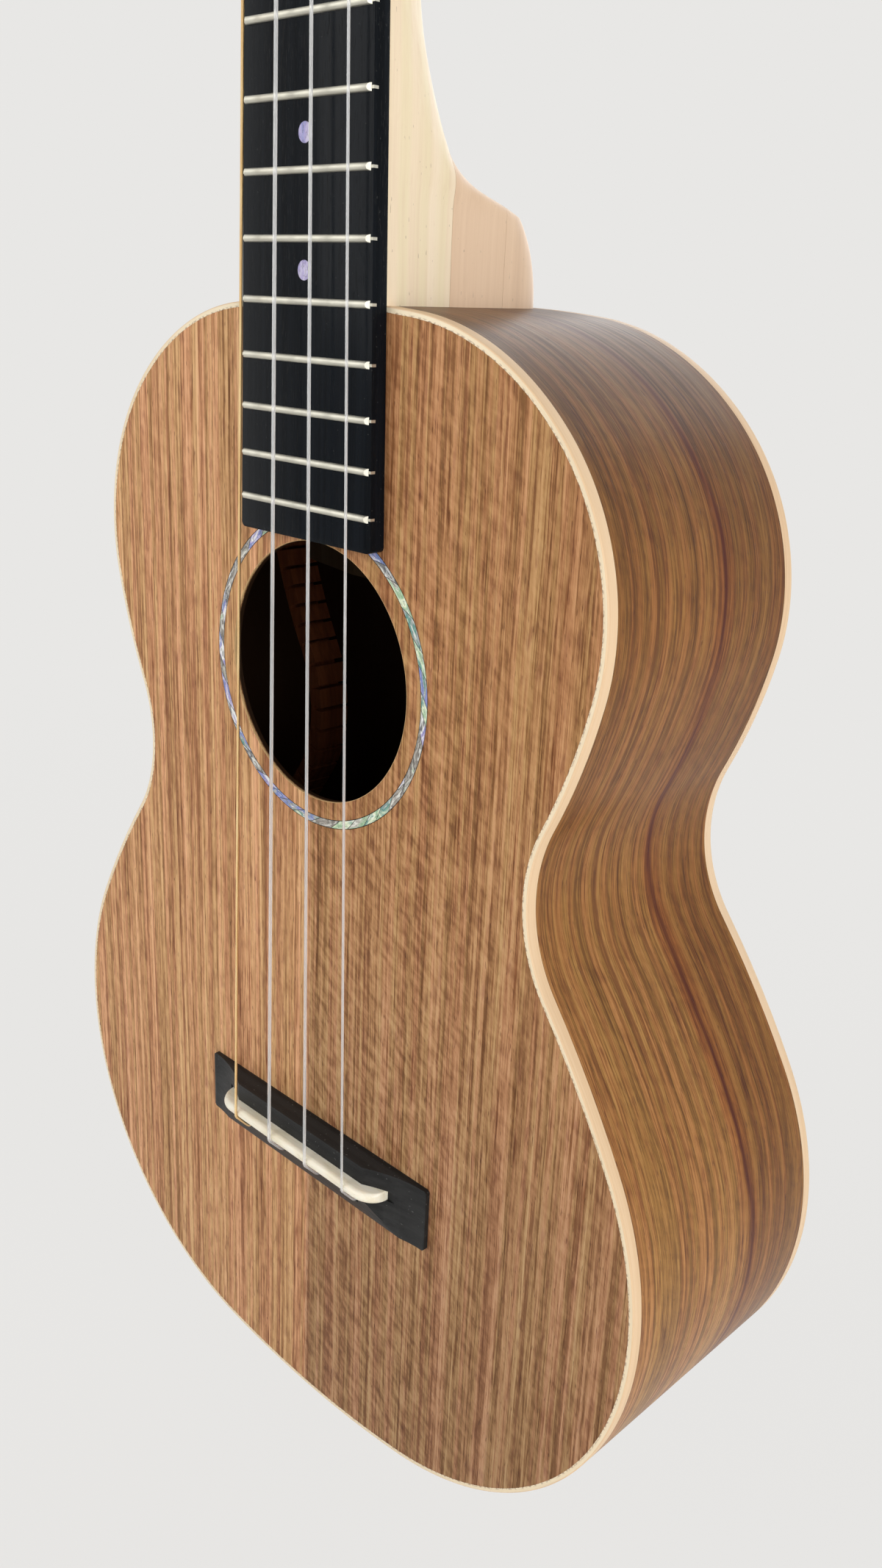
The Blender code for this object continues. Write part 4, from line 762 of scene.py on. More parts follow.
def make_materials():
    """All materials by short name. Woods take tones from dark to light."""
    top = ((0.262, 0.120, 0.053), (0.443, 0.230, 0.112), (0.547, 0.300, 0.154), (0.678, 0.410, 0.230))
    side = ((0.150, 0.057, 0.014), (0.230, 0.093, 0.023), (0.278, 0.117, 0.030), (0.350, 0.157, 0.046))
    back = ((0.150, 0.066, 0.029), (0.245, 0.115, 0.052), (0.340, 0.170, 0.080), (0.450, 0.245, 0.125))
    maple = ((0.78, 0.62, 0.41), (0.91, 0.77, 0.55), (0.95, 0.85, 0.66))
    neck = ((0.84, 0.66, 0.47), (0.91, 0.75, 0.54), (0.95, 0.80, 0.60))
    heel = ((0.72, 0.51, 0.345), (0.785, 0.565, 0.385), (0.83, 0.61, 0.425))
    # spruce tones darkened far below the wood's own colour: painted shade inside the body
    spruce = ((0.090, 0.052, 0.026), (0.120, 0.075, 0.040), (0.150, 0.100, 0.058))
    kerf = ((0.14, 0.036, 0.012), (0.22, 0.062, 0.020), (0.29, 0.090, 0.032))
    paint = {
        "top": tonewood("tonewood_top", top, halves=True, inside="top", mottle=0.55),
        "back": tonewood("tonewood_back", back, figure=0.4, gloss=0.38, shine=0.22, shift=1.3,
                         inside="back"),
        "maple": paleswood("maple_binding", maple, "grain", speck=0.75),
        "neck": paleswood("neckwood", neck, scale=1.7, lamination=0.6),
        "heel": paleswood("heelwood", heel, scale=1.7),
        "spruce": paleswood("spruce_in_painted_shade", spruce, gloss=0.6),
        "kerf": paleswood("kerfed_lining", kerf, "grain", gloss=0.6),
        "plate": paleswood("maple_plate", maple, gloss=0.55),
        "board": ebony("ebony_board", (0.0060, 0.0080, 0.0110), 0.16, 0.060, 0.1),
        "bridge": ebony("ebony_bridge", (0.024, 0.024, 0.024), 0.42, 0.14, across=True),
        "shell": shell("shell_ring", "grain"),
        "bone": bone("bone"),
        "nickel": metal("nickel", (0.78, 0.76, 0.70), 0.24),
        "fret": metal("fret_nickel", (0.68, 0.66, 0.57), 0.50, (200, 2200, 2200)),
        "screw": metal("screw_steel", (0.70, 0.69, 0.66), 0.30),
        "clear": clear_string("clear_line"),
        "gold": wound_string("wound_wire"),
        "pearl": pearl("pearl_button"),
    }
    for label, shift in (("bass", 0.7), ("treble", 0.0)):
        paint[label] = tonewood("sidewood_" + label, side, "grain", 0.25, streak=0.041, gloss=0.38,
                                shine=0.22, shift=shift, inside="side", calm=0.85, mottle=0.2)
    return paint


# Mesh helpers
def arc(wide, tall, start, end, steps, centre=(0.0, 0.0)):
    """Points of a circle or ellipse from one angle to another, in degrees."""
    angles = [math.radians(start + (end - start) * i / steps) for i in range(steps + 1)]
    return [(centre[0] + wide * math.cos(a), centre[1] + tall * math.sin(a)) for a in angles]


def circle(radius, sides, centre_z=0.0, centre_x=0.0):
    return arc(radius, radius, 0, 360, sides, (centre_x, centre_z))[:-1]


def tidy(shape, name):
    bmesh.ops.remove_doubles(shape, verts=shape.verts, dist=1e-6)
    bmesh.ops.recalc_face_normals(shape, faces=shape.faces)
    mesh = bpy.data.meshes.new(name)
    shape.to_mesh(mesh)
    shape.free()
    return mesh


def evaluated(holder):
    """The mesh of an object as its modifiers leave it. The object is removed."""
    bpy.context.view_layer.update()
    graph = bpy.context.evaluated_depsgraph_get()
    mesh = bpy.data.meshes.new_from_object(holder.evaluated_get(graph))
    bpy.data.objects.remove(holder, do_unlink=True)
    return mesh


def carved(mesh, *cutters, join=()):
    """A mesh after others are joined to it and then cutters taken from it."""
    holder = in_scene("holder", mesh)
    tools = []
    for operation, meshes in (("UNION", join), ("DIFFERENCE", cutters)):
        for cutter_mesh in meshes:
            tool = in_scene("cutter", cutter_mesh)
            step = holder.modifiers.new(operation, "BOOLEAN")
            step.operation = operation
            step.object = tool
            tools.append(tool)
    result = evaluated(holder)
    for tool in tools:
        bpy.data.objects.remove(tool, do_unlink=True)
    return result


def bevelled(mesh, width, segments, angle):
    holder = in_scene("holder", mesh)
    step = holder.modifiers.new("edge", "BEVEL")
    step.width = width
    step.segments = segments
    step.limit_method = "ANGLE"
    step.angle_limit = math.radians(angle)
    return evaluated(holder)


def add_piece(name, mesh, material, replaces=(), body=ROOT, sharp=35):
    mesh.name = name
    mesh.materials.clear()
    mesh.materials.append(material)
    mesh.shade_smooth()
    mesh.set_sharp_from_angle(angle=math.radians(sharp))
    piece = in_scene(name, mesh)
    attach(piece, body)
    if replaces:
        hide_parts(*replaces)


def box_mesh(low, high):
    shape = bmesh.new()
    bmesh.ops.create_cube(shape, size=1)
    size = [b - a for a, b in zip(low, high)]
    centre = [(a + b) / 2 for a, b in zip(low, high)]
    shape.transform(Matrix.Translation(centre) @ Matrix.Diagonal((*size, 1)))
    return tidy(shape, "box")


def cylinder_mesh(start, end, radius, sides=32):
    start, end = Vector(start), Vector(end)
    along = end - start
    shape = bmesh.new()
    bmesh.ops.create_cone(shape, cap_ends=True, segments=sides, radius1=radius, radius2=radius,
                          depth=along.length)
    turn = along.to_track_quat("Z", "Y").to_matrix().to_4x4()
    shape.transform(Matrix.Translation((start + end) / 2) @ turn)
    return tidy(shape, "cylinder")


def turned_mesh(profile, sides=48, closed=False):
    """A (radius, height) profile turned round Z. A closed one joins its end to its start."""
    shape = bmesh.new()
    rings = []
    for radius, height in profile:
        rings.append([shape.verts.new((x, y, height)) for x, y in circle(radius, sides)])
    join_rings(shape, rings, closed)
    return tidy(shape, "turned")


PLANES = {
    "XZ": ((1, 0, 0, 0), (0, 0, 1, 0), (0, 1, 0, 0)),
    "XY": ((1, 0, 0, 0), (0, 1, 0, 0), (0, 0, 1, 0)),
    "YZ": ((0, 0, 1, 0), (1, 0, 0, 0), (0, 1, 0, 0)),
}


def flat_mesh(loops, low, high, plane="XZ"):
    """Extrude closed outlines, the first one outside, between two depths."""
    curve = bpy.data.curves.new("outline", "CURVE")
    curve.dimensions = "2D"
    curve.fill_mode = "BOTH"
    curve.resolution_u = 1
    curve.extrude = (high - low) / 2
    for loop in loops:
        spline = curve.splines.new("POLY")
        spline.points.add(len(loop) - 1)
        for point, (u, v) in zip(spline.points, loop):
            point.co = (u, v, 0, 1)
        spline.use_cyclic_u = True
    mesh = evaluated(in_scene("outline", curve))
    bpy.data.curves.remove(curve)
    shape = bmesh.new()
    shape.from_mesh(mesh)
    bpy.data.meshes.remove(mesh)
    shape.transform(Matrix.Translation((0, 0, (low + high) / 2)))
    shape.transform(Matrix((*PLANES[plane], (0, 0, 0, 1))))
    return tidy(shape, "flat")


def join_rings(shape, rings, closed=False):
    """Faces between neighbouring rings of vertices, and over the ends unless the rings close a loop."""
    count = len(rings[0])
    for lower, upper in zip(rings, rings[1:] + rings[:1] if closed else rings[1:]):
        for i in range(count):
            j = (i + 1) % count
            shape.faces.new((lower[i], lower[j], upper[j], upper[i]))
    if not closed:
        shape.faces.new(rings[0][::-1])
        shape.faces.new(rings[-1])


def loft_mesh(stations):
    """Join sections, each a list of points of the same length."""
    shape = bmesh.new()
    join_rings(shape, [[shape.verts.new(point) for point in section] for section in stations])
    return tidy(shape, "loft")


def grained_loft(stations, closed=False):
    """Join sections, each a list of points with their values of the grain attribute."""
    shape = bmesh.new()
    grain = shape.verts.layers.float_vector.new("grain")
    rings = []
    for section in stations:
        ring = []
        for point, value in section:
            vertex = shape.verts.new(point)
            vertex[grain] = value
            ring.append(vertex)
        rings.append(ring)
    join_rings(shape, rings, closed)
    return tidy(shape, "grained")


def tube_mesh(points, radius, sides=12, radii=None):
    """A closed tube along points, with its length along the grain attribute's third value."""
    places = [Vector(p) for p in points]
    normal = (places[1] - places[0]).orthogonal()
    stations, length = [], 0.0
    for i, place in enumerate(places):
        tangent = (places[min(i + 1, len(places) - 1)] - places[max(i - 1, 0)]).normalized()
        normal = (normal - tangent * normal.dot(tangent)).normalized()
        other = tangent.cross(normal)
        length += (place - places[max(i - 1, 0)]).length
        ring = circle(radius * (radii[i] if radii else 1), sides)
        stations.append([(place + normal * u + other * v, (u, v, length)) for u, v in ring])
    return grained_loft(stations)


# Outline of the body
def follow_arc(points, heading, radius, turn):
    """Go on from the last point along an arc. Heading and turn are in degrees."""
    angle = math.radians(heading)
    centre = (points[-1][0] - radius * math.sin(angle), points[-1][1] + radius * math.cos(angle))
    steps = math.ceil(abs(turn) / OUTLINE_STEP)
    points.extend(arc(radius, radius, heading - 90, heading + turn - 90, steps, centre)[1:])


def raw_outline(inset):
    """Points (x, z) of the treble half from the tail's middle up, all moved in by the inset."""
    points, heading = [(0.0, inset)], 0.0
    for radius, turn in OUTLINE_ARCS:
        follow_arc(points, heading, radius - inset, turn)
        heading += turn
    follow_arc(points, heading, points[-1][0] / math.sin(math.radians(heading)), 180 - heading)
    points[-1] = (0.0, points[-1][1])
    return points


BODY_LENGTH = raw_outline(0)[-1][1]


def half_outline(inset):
    """The treble half of the body's outline in its place."""
    rise = JOIN_Z + BODY_RISE - BODY_LENGTH
    return [(x, z + rise) for x, z in raw_outline(inset + OUTLINE_EASE)]


def full_outline(inset):
    right = half_outline(inset)
    return right + [(-x, z) for x, z in reversed(right[1:-1])]


def run_lengths(points):
    lengths = [0.0]
    for a, b in zip(points, points[1:]):
        lengths.append(lengths[-1] + math.dist(a, b))
    return lengths


def back_y(z):
    return DEPTH_AT_NECK + DEPTH_TAPER * (JOIN_Z - z)


def swept_mesh(section, ring, side=1):
    """Sweep a section, a list of (inset, depth function), round the body or along one side.

    The grain attribute holds (depth, inset, length along the outline).
    """
    lengths = run_lengths(half_outline(0))
    rails = [(inset, depth_at, half_outline(inset)) for inset, depth_at in section]
    order = [(i, side) for i in range(len(lengths))]
    if ring:
        order += [(i, -side) for i in range(len(lengths) - 2, 0, -1)]
    stations = []
    for i, direction in order:
        station = []
        for inset, depth_at, rail in rails:
            x, z = rail[i]
            station.append(((x * direction, depth_at(z), z), (depth_at(z), inset, lengths[i])))
        stations.append(station)
    return grained_loft(stations, ring)


def slope_back(mesh):
    for vertex in mesh.vertices:
        vertex.co.y += DEPTH_TAPER * (JOIN_Z - vertex.co.z)
    return mesh


def rosette_loops():
    """Outer and inner edge of the ring with its glue lines."""
    half = ROSETTE_WIDTH / 2 + ROSETTE_LINE
    return [circle(ROSETTE_RADIUS + half, 192, HOLE_Z), circle(ROSETTE_RADIUS - half, 192, HOLE_Z)]


# Body
def string_x_saddle(index):
    return BRIDGE_OFFSET + (index - 1.5) * STRING_SPACING_SADDLE


def string_x_nut(index):
    return STRING_OFFSET_NUT + (index - 1.5) * STRING_SPACING_NUT


def string_hole_cuts(low_y, high_y):
    places = [string_x_saddle(i) for i in range(4)]
    return [cylinder_mesh((x, low_y, STRING_HOLE_Z), (x, high_y, STRING_HOLE_Z), STRING_HOLE_RADIUS, 20)
            for x in places]


def make_soundboard(paint):
    hole = circle(SOUNDHOLE_RADIUS, 160, HOLE_Z)
    board = flat_mesh([full_outline(BINDING_WIDTH - TOUCH), hole], 0, SOUNDBOARD_THICKNESS)
    groove = flat_mesh(rosette_loops(), -REACH, ROSETTE_DEPTH)
    board = carved(board, groove, *string_hole_cuts(-REACH, REACH))
    add_piece("soundboard_plate", board, paint["top"], ("soundboard",))


def make_rosette(paint):
    """Shell strips round the hole, broken where the fingerboard covers them, in a dark glue line."""
    covered = board_half_width(BOARD_END_Z) - ROSETTE_UNDER_BOARD
    span = math.acos(covered / ROSETTE_RADIUS)
    half, low = ROSETTE_WIDTH / 2, ROSETTE_DEPTH - TOUCH
    stations = []
    for i in range(201):
        angle = math.pi - span + (math.pi + 2 * span) * i / 200
        station = []
        for offset, y in ((-half, TOUCH), (half, TOUCH), (half, low), (-half, low)):
            radius = ROSETTE_RADIUS + offset
            point = (radius * math.cos(angle), y, HOLE_Z + radius * math.sin(angle))
            station.append((point, (offset, y, angle * ROSETTE_RADIUS)))
        stations.append(station)
    add_piece("rosette_ring", grained_loft(stations), paint["shell"], ("rosette",))
    glue = flat_mesh(rosette_loops(), GLUE_SINK, ROSETTE_DEPTH)
    add_piece("rosette_glue_line", glue, paint["board"])


def make_bindings(paint):
    corner = arc(BINDING_ROUND, BINDING_ROUND, 270, 180, 4, (BINDING_ROUND, BINDING_ROUND))
    section = [(BINDING_WIDTH, 0.0), *corner, (0.0, BINDING_HEIGHT), (BINDING_WIDTH, BINDING_HEIGHT)]
    top = [(inset, lambda z, d=drop: d) for inset, drop in section]
    back = [(inset, lambda z, d=drop: back_y(z) - d) for inset, drop in section]
    add_piece("top_binding_strip", swept_mesh(top, True), paint["maple"], ("top_binding",))
    add_piece("back_binding_strip", swept_mesh(back, True), paint["maple"], ("back_binding",))


def make_sides(paint):
    corners = [(0.0, k / 4) for k in range(5)] + [(SIDE_THICKNESS, 1.0), (SIDE_THICKNESS, 0.0)]
    section = [(inset, lambda z, s=share: BINDING_HEIGHT + (back_y(z) - 2 * BINDING_HEIGHT) * s)
               for inset, share in corners]
    for label, side in SIDES:
        add_piece(f"{label}_side_bent", swept_mesh(section, False, side), paint[label], (f"side_{label}",))


def make_back(paint):
    loop = full_outline(BINDING_WIDTH - TOUCH)
    mesh = slope_back(flat_mesh([loop], DEPTH_AT_NECK - BACK_THICKNESS, DEPTH_AT_NECK))
    add_piece("back_plate_panel", mesh, paint["back"], ("back_plate",))


def make_linings(paint):
    """Kerfed linings: blocks joined by a thin web next to the side."""
    top, floor = SOUNDBOARD_THICKNESS, DEPTH_AT_NECK - BACK_THICKNESS
    for prefix, low, high, taper in (("top_lining_", top, top + LINING_HEIGHT, 0.0),
                                     ("back_lining_", floor - LINING_HEIGHT, floor, DEPTH_TAPER)):
        for label, side in SIDES:
            name = prefix + label
            add_piece(name + "_kerfed", lining_mesh(side, low, high, taper), paint["kerf"], (name,))


def lining_mesh(side, low, high, taper):
    insets = (SIDE_THICKNESS, SIDE_THICKNESS + KERF_WEB, SIDE_THICKNESS + LINING_WIDTH)
    chains = [half_outline(inset) for inset in insets]
    lengths = run_lengths(half_outline(0))
    stations = []
    place = 0.0
    while place < lengths[-1]:
        kerf, after = place + KERF_SPACING - KERF_WIDTH, place + KERF_SPACING
        for distance, wide in ((place, True), (kerf, True),
                               (kerf + KERF_EDGE, False), (after - KERF_EDGE, False)):
            points = [point_along(chain, lengths, distance) for chain in chains]
            if distance > lengths[-1] or min(abs(x) for x, z in points) < BLOCK_END:
                continue
            outer, inner = points[0], points[2] if wide else points[1]
            corners = ((outer, low), (outer, high), (inner, high), (inner, low))
            stations.append([((x * side, y + taper * (JOIN_Z - z), z), (y, x, distance))
                             for (x, z), y in corners])
        place += KERF_SPACING
    return grained_loft(stations)


def point_along(chain, lengths, distance):
    last = len(lengths) - 1
    i = next((k for k in range(1, last) if lengths[k] >= distance), last)
    share = min((distance - lengths[i - 1]) / (lengths[i] - lengths[i - 1]), 1.0)
    (xa, za), (xb, zb) = chain[i - 1], chain[i]
    return xa + (xb - xa) * share, za + (zb - za) * share


# Bridge and saddle
def bridge_top(x):
    beyond = abs(x) - BRIDGE_MIDDLE / 2
    if beyond <= 0:
        return BRIDGE_HEIGHT
    share = 1 - beyond / (BRIDGE_LENGTH / 2 - BRIDGE_MIDDLE / 2)
    return BRIDGE_TIP_HEIGHT + (BRIDGE_HEIGHT - BRIDGE_TIP_HEIGHT) * max(share, 0) ** BRIDGE_WING_POWER


def bridge_back_y(z):
    start = SADDLE_Z - SADDLE_THICKNESS
    fall = (BRIDGE_HEIGHT - BRIDGE_BACK_HEIGHT) / (start - BRIDGE_BACK_Z)
    return -BRIDGE_HEIGHT + fall * (start - z)


def make_bridge(paint):
    half, middle = BRIDGE_LENGTH / 2, BRIDGE_MIDDLE / 2
    wing = [middle + (half - middle) * i / 24 for i in range(25)]
    loop = [(-half, 0.0), (half, 0.0)]
    loop += [(x, -bridge_top(x)) for x in reversed(wing)]
    loop += [(-x, -bridge_top(x)) for x in wing]
    mesh = flat_mesh([loop], BRIDGE_BACK_Z, BRIDGE_FRONT_Z, "XY")
    start, beyond = SADDLE_Z - SADDLE_THICKNESS, BRIDGE_BACK_Z - PAST
    clear = -2 * BRIDGE_HEIGHT
    slope = flat_mesh([[(bridge_back_y(start), start), (clear, start), (clear, beyond),
                        (bridge_back_y(beyond), beyond)]], -BRIDGE_LENGTH, BRIDGE_LENGTH, "YZ")
    mesh = bevelled(carved(mesh, slope, *bridge_corner_cuts()), BRIDGE_EDGE, 3, 40)
    mesh.transform(Matrix.Translation((BRIDGE_OFFSET, 0, 0)))
    half_slot = SADDLE_LENGTH / 2 + SADDLE_SLOT_EXTRA
    depth = SADDLE_THICKNESS / 2
    slot = box_mesh((BRIDGE_OFFSET - half_slot, -REACH, SADDLE_Z - depth),
                    (BRIDGE_OFFSET + half_slot + SADDLE_SLOT_TREBLE, -SADDLE_SEAT, SADDLE_Z + depth))
    mesh = carved(mesh, slot, *string_hole_cuts(REACH, -REACH))
    add_piece("bridge_block", mesh, paint["bridge"], ("bridge",), sharp=32)


def bridge_corner_cuts():
    """Small slanted cuts at the four corners of the bridge, seen from the front."""
    cuts = []
    half = BRIDGE_LENGTH / 2
    for side in (-1, 1):
        for z, inward in ((BRIDGE_FRONT_Z, -1), (BRIDGE_BACK_Z, 1)):
            near, far, tip = side * (half - BRIDGE_CORNER), side * (half + PAST), z - inward * PAST
            rise = z + inward * BRIDGE_CORNER
            loop = [(near, tip), (far, tip), (far, rise), (side * half, rise), (near, z)]
            cuts.append(flat_mesh([loop], -REACH, REACH))
    return cuts


def make_saddle(paint):
    end, depth = SADDLE_LENGTH / 2 - SADDLE_END_FALL, SADDLE_THICKNESS / 2
    crown = arc(SADDLE_END_FALL, SADDLE_TOP - SADDLE_SHOULDER, 0, -90, 14, (end, -SADDLE_SHOULDER))
    crown += [(end - end * i / 6, -SADDLE_TOP) for i in range(1, 7)]
    crown += [(-x, y) for x, y in reversed(crown[:-1])]
    low, back, front = -SADDLE_SEAT, SADDLE_Z - depth, SADDLE_Z + depth
    stations = []
    for x, y in crown:
        top = [(min(v, low), u) for u, v in arc(depth, depth, 180, 360, 12, (SADDLE_Z, y + depth))]
        stations.append([(x + BRIDGE_OFFSET, *point) for point in ((low, back), *top, (low, front))])
    add_piece("saddle_bone", loft_mesh(stations), paint["bone"], ("saddle",), sharp=40)


# Neck, fingerboard and head
def fret_z(number):
    return NUT_Z - SCALE * (1 - 2 ** (-number / 12))


def board_half_width(z):
    slope = (BOARD_WIDTH_AT_JOIN - NUT_WIDTH) / (NUT_Z - JOIN_Z)
    return (NUT_WIDTH + slope * (NUT_Z - z)) / 2


def make_fingerboard(paint):
    end = BOARD_END_Z
    right = [(NUT_WIDTH / 2, NUT_Z), (board_half_width(end + BOARD_CORNER), end + BOARD_CORNER)]
    centre = (board_half_width(end) - BOARD_CORNER, end + BOARD_CORNER)
    right += arc(BOARD_CORNER, BOARD_CORNER, 0, -90, 8, centre)[1:]
    loop = right + [(-x, z) for x, z in reversed(right)]
    slab = bevelled(flat_mesh([loop], -BOARD_THICKNESS, 0), BOARD_EDGE, 2, 50)
    floor = DOT_DEPTH - BOARD_THICKNESS
    places = [(number, (fret_z(number) + fret_z(number - 1)) / 2) for number in DOT_FRETS]
    holes = [flat_mesh([circle(DOT_RADIUS + DOT_GAP, 48, z, DOT_X)], -REACH, floor) for _, z in places]
    add_piece("fingerboard_slab", carved(slab, *holes), paint["board"], ("fingerboard",), sharp=32)
    for number, z in places:
        name = f"shell_dot_{number:02d}"
        dot = flat_mesh([circle(DOT_RADIUS, 48, z, DOT_X)], -BOARD_THICKNESS - HAIR, floor)
        add_piece(name, dot, shell(name, None, 0.60 + 0.003 * number))


def make_frets(paint):
    """Arched crowns whose ends lean in above the board, each on its tang."""
    half_crown, half_tang, top = FRET_CROWN_WIDTH / 2, FRET_TANG_WIDTH / 2, -BOARD_THICKNESS
    for number in range(1, FRET_COUNT + 1):
        z = fret_z(number)
        half = board_half_width(z)
        foot, low = half - FRET_END_INSET, top + FRET_FOOT
        crown = []
        for end in (-1, 1):
            section = []
            for along, share in arc(half_crown, 1, 0, 180, 12):
                rise = FRET_CROWN_HEIGHT * share ** 0.8
                section.append((end * (foot - rise * FRET_END_LEAN), top - rise, z + along))
            section += [(end * foot, low, z - half_crown), (end * foot, low, z + half_crown)]
            crown.append(section)
        tang = box_mesh((-half - HAIR, top - 4 * HAIR, z - half_tang),
                        (half + HAIR, top + FRET_TANG_DEPTH, z + half_tang))
        mesh = carved(loft_mesh(crown), join=[tang])
        add_piece(f"fret_wire_{number:02d}", mesh, paint["fret"], (f"fret_{number:02d}",), sharp=30)


def bezier_chain(knots, steps):
    points = []
    for knot in knots:
        points += [(p.x, p.y) for p in interpolate_bezier(*(Vector((*k, 0)) for k in knot), steps)[:-1]]
    return points + [tuple(knots[-1][3])]


def neck_profile():
    lobe = Vector((LOBE_RISE, HEEL_DEPTH - LOBE_DROP))
    throat = Vector((THROAT_RISE, NECK_DEPTH_AT_HEEL + THROAT_DEPTH))
    end = Vector((HEEL_LENGTH, NECK_DEPTH_AT_HEEL))
    lobe_before, lobe_after = [lobe + Vector(offset) for offset in LOBE_HANDLES]
    throat_before, throat_after = [throat + Vector(offset) for offset in THROAT_HANDLES]
    knots = [
        ((0, HEEL_DEPTH), (HEEL_TIP_RUN, HEEL_DEPTH), lobe_before, lobe),
        (lobe, lobe_after, throat_before, throat),
        (throat, throat_after, end - Vector((NECK_RUN, 0)), end),
    ]
    return bezier_chain(knots, 18)


def neck_section(z, depth, at):
    half = board_half_width(at)
    blend = min(max((depth - NECK_DEPTH_AT_HEEL) / (HEEL_DEPTH - NECK_DEPTH_AT_HEEL), 0), 1)
    power = 2 + HEEL_SQUARENESS * blend
    taper = (1 - HEEL_TIP_WIDTH / 2 / half) * blend
    steps = 26
    right = []
    for i in range(steps):
        share = math.sin(math.radians(90) * i / steps)
        right.append((half * (1 - taper * share) * math.sqrt(1 - share ** power), depth * share, z))
    return right + [(0, depth, z)] + [(-x, y, z) for x, y, _ in reversed(right)]


def shaft_mesh():
    top_z = NUT_Z + NUT_THICKNESS + SHAFT_PAST_NUT
    stations = [neck_section(JOIN_Z - HEEL_UNDER_BODY, HEEL_DEPTH, JOIN_Z)]
    stations += [neck_section(JOIN_Z + rise, depth, JOIN_Z + rise) for rise, depth in neck_profile()]
    start = JOIN_Z + HEEL_LENGTH
    for i in range(1, 17):
        z = start + (top_z - start) * i / 16
        depth = NECK_DEPTH_AT_HEEL + (NECK_DEPTH_AT_NUT - NECK_DEPTH_AT_HEEL) * i / 16
        stations.append(neck_section(z, depth, min(z, NUT_Z)))
    return loft_mesh(stations)


def head_outline():
    base, wide, top = NUT_WIDTH / 2, HEAD_WIDTH / 2, HEAD_TOP_WIDTH / 2
    flare, shoulder = HEAD_FLARE_END, HEAD_LENGTH - HEAD_CROWN
    up_base, down_flare, up_flare, down_shoulder = HEAD_HANDLES
    knots = [
        ((base, 0), (base, up_base), (wide, flare - down_flare), (wide, flare)),
        ((wide, flare), (wide, flare + up_flare), (top, shoulder - down_shoulder), (top, shoulder)),
        ((top, shoulder), (top * 0.7, HEAD_LENGTH), (top * 0.3, HEAD_LENGTH), (0, HEAD_LENGTH)),
    ]
    right = bezier_chain(knots, 16)
    return right + [(-x, z) for x, z in reversed(right[:-1])]


HEAD = Matrix.Translation(HEAD_ORIGIN) @ Matrix.Rotation(-HEAD_TILT, 4, "X")


def tuner_places():
    low, high = POST_HEIGHTS
    return ((POST_X, low), (POST_X, high), (-POST_X, high), (-POST_X, low))


def in_head(mesh, place=(0, 0, 0)):
    mesh.transform(HEAD @ Matrix.Translation(place))
    return mesh


def make_neck(paint):
    """Shaft and head of one blank, cut at the body, and the two blocks of the heel behind it."""
    head = in_head(bevelled(flat_mesh([head_outline()], 0, HEAD_THICKNESS), HEAD_EDGE, 3, 50))
    holes = [in_head(cylinder_mesh((x, -REACH, height), (x, REACH, height), POST_RADIUS + POST_CLEARANCE))
             for x, height in tuner_places()]
    neck = carved(shaft_mesh(), depth_box(NECK_BLANK - JOINT_LINE / 2, FAR), body_block())
    neck = carved(neck, *holes, join=[head])
    add_piece("neck_timber", neck, paint["neck"], ("neck",), sharp=30)
    split = NECK_BLANK + HEEL_BLOCK + 2 * GAP
    upper = carved(shaft_mesh(), depth_box(-FAR, NECK_BLANK + JOINT_LINE / 2),
                   depth_box(split - JOINT_LINE / 2, FAR), body_block())
    lower = carved(shaft_mesh(), depth_box(-FAR, split + JOINT_LINE / 2), body_block())
    for name, mesh in (("heel_upper", upper), ("heel_lower", lower)):
        add_piece(name + "_block", mesh, paint["heel"], (name,), sharp=30)


def depth_box(low_y, high_y):
    return box_mesh((-FAR, low_y, JOIN_Z - FAR), (FAR, high_y, NUT_Z + FAR))


def body_block():
    return flat_mesh([full_outline(0)], -FAR / 4, FAR)


def make_nut(paint):
    half = NUT_WIDTH / 2
    block = box_mesh((-half, -NUT_HEIGHT, NUT_Z), (half, 0, NUT_Z + NUT_THICKNESS))
    cuts = []
    for index, diameter in enumerate(STRING_DIAMETERS):
        reach = diameter / 2 + 5 * HAIR
        slot = box_mesh((-reach, -REACH, -REACH), (reach, reach, REACH))
        slot.transform(Matrix.Translation((string_x_nut(index), -STRING_HEIGHT_NUT, NUT_Z))
                       @ Matrix.Rotation(-HEAD_TILT / 2, 4, "X"))
        cuts.append(slot)
    add_piece("nut_bone", carved(bevelled(block, NUT_EDGE, 3, 50), *cuts), paint["bone"], ("nut",))


# Tuners
def gear_loop():
    root = GEAR_PITCH_RADIUS - GEAR_ROOT * GEAR_MODULE
    tip = GEAR_PITCH_RADIUS + GEAR_TIP * GEAR_MODULE
    points = []
    for tooth in range(GEAR_TEETH):
        centre = -math.pi / 2 + (tooth + 0.5) * 2 * math.pi / GEAR_TEETH
        half = GEAR_TOOTH_WIDTH / 2
        for radius, share in ((root, -1.5), (GEAR_PITCH_RADIUS, -1.1), (tip, -0.6), (tip, 0.6),
                              (GEAR_PITCH_RADIUS, 1.1), (root, 1.5)):
            angle = centre + share * half / radius
            points.append((radius * math.cos(angle), radius * math.sin(angle)))
    return points


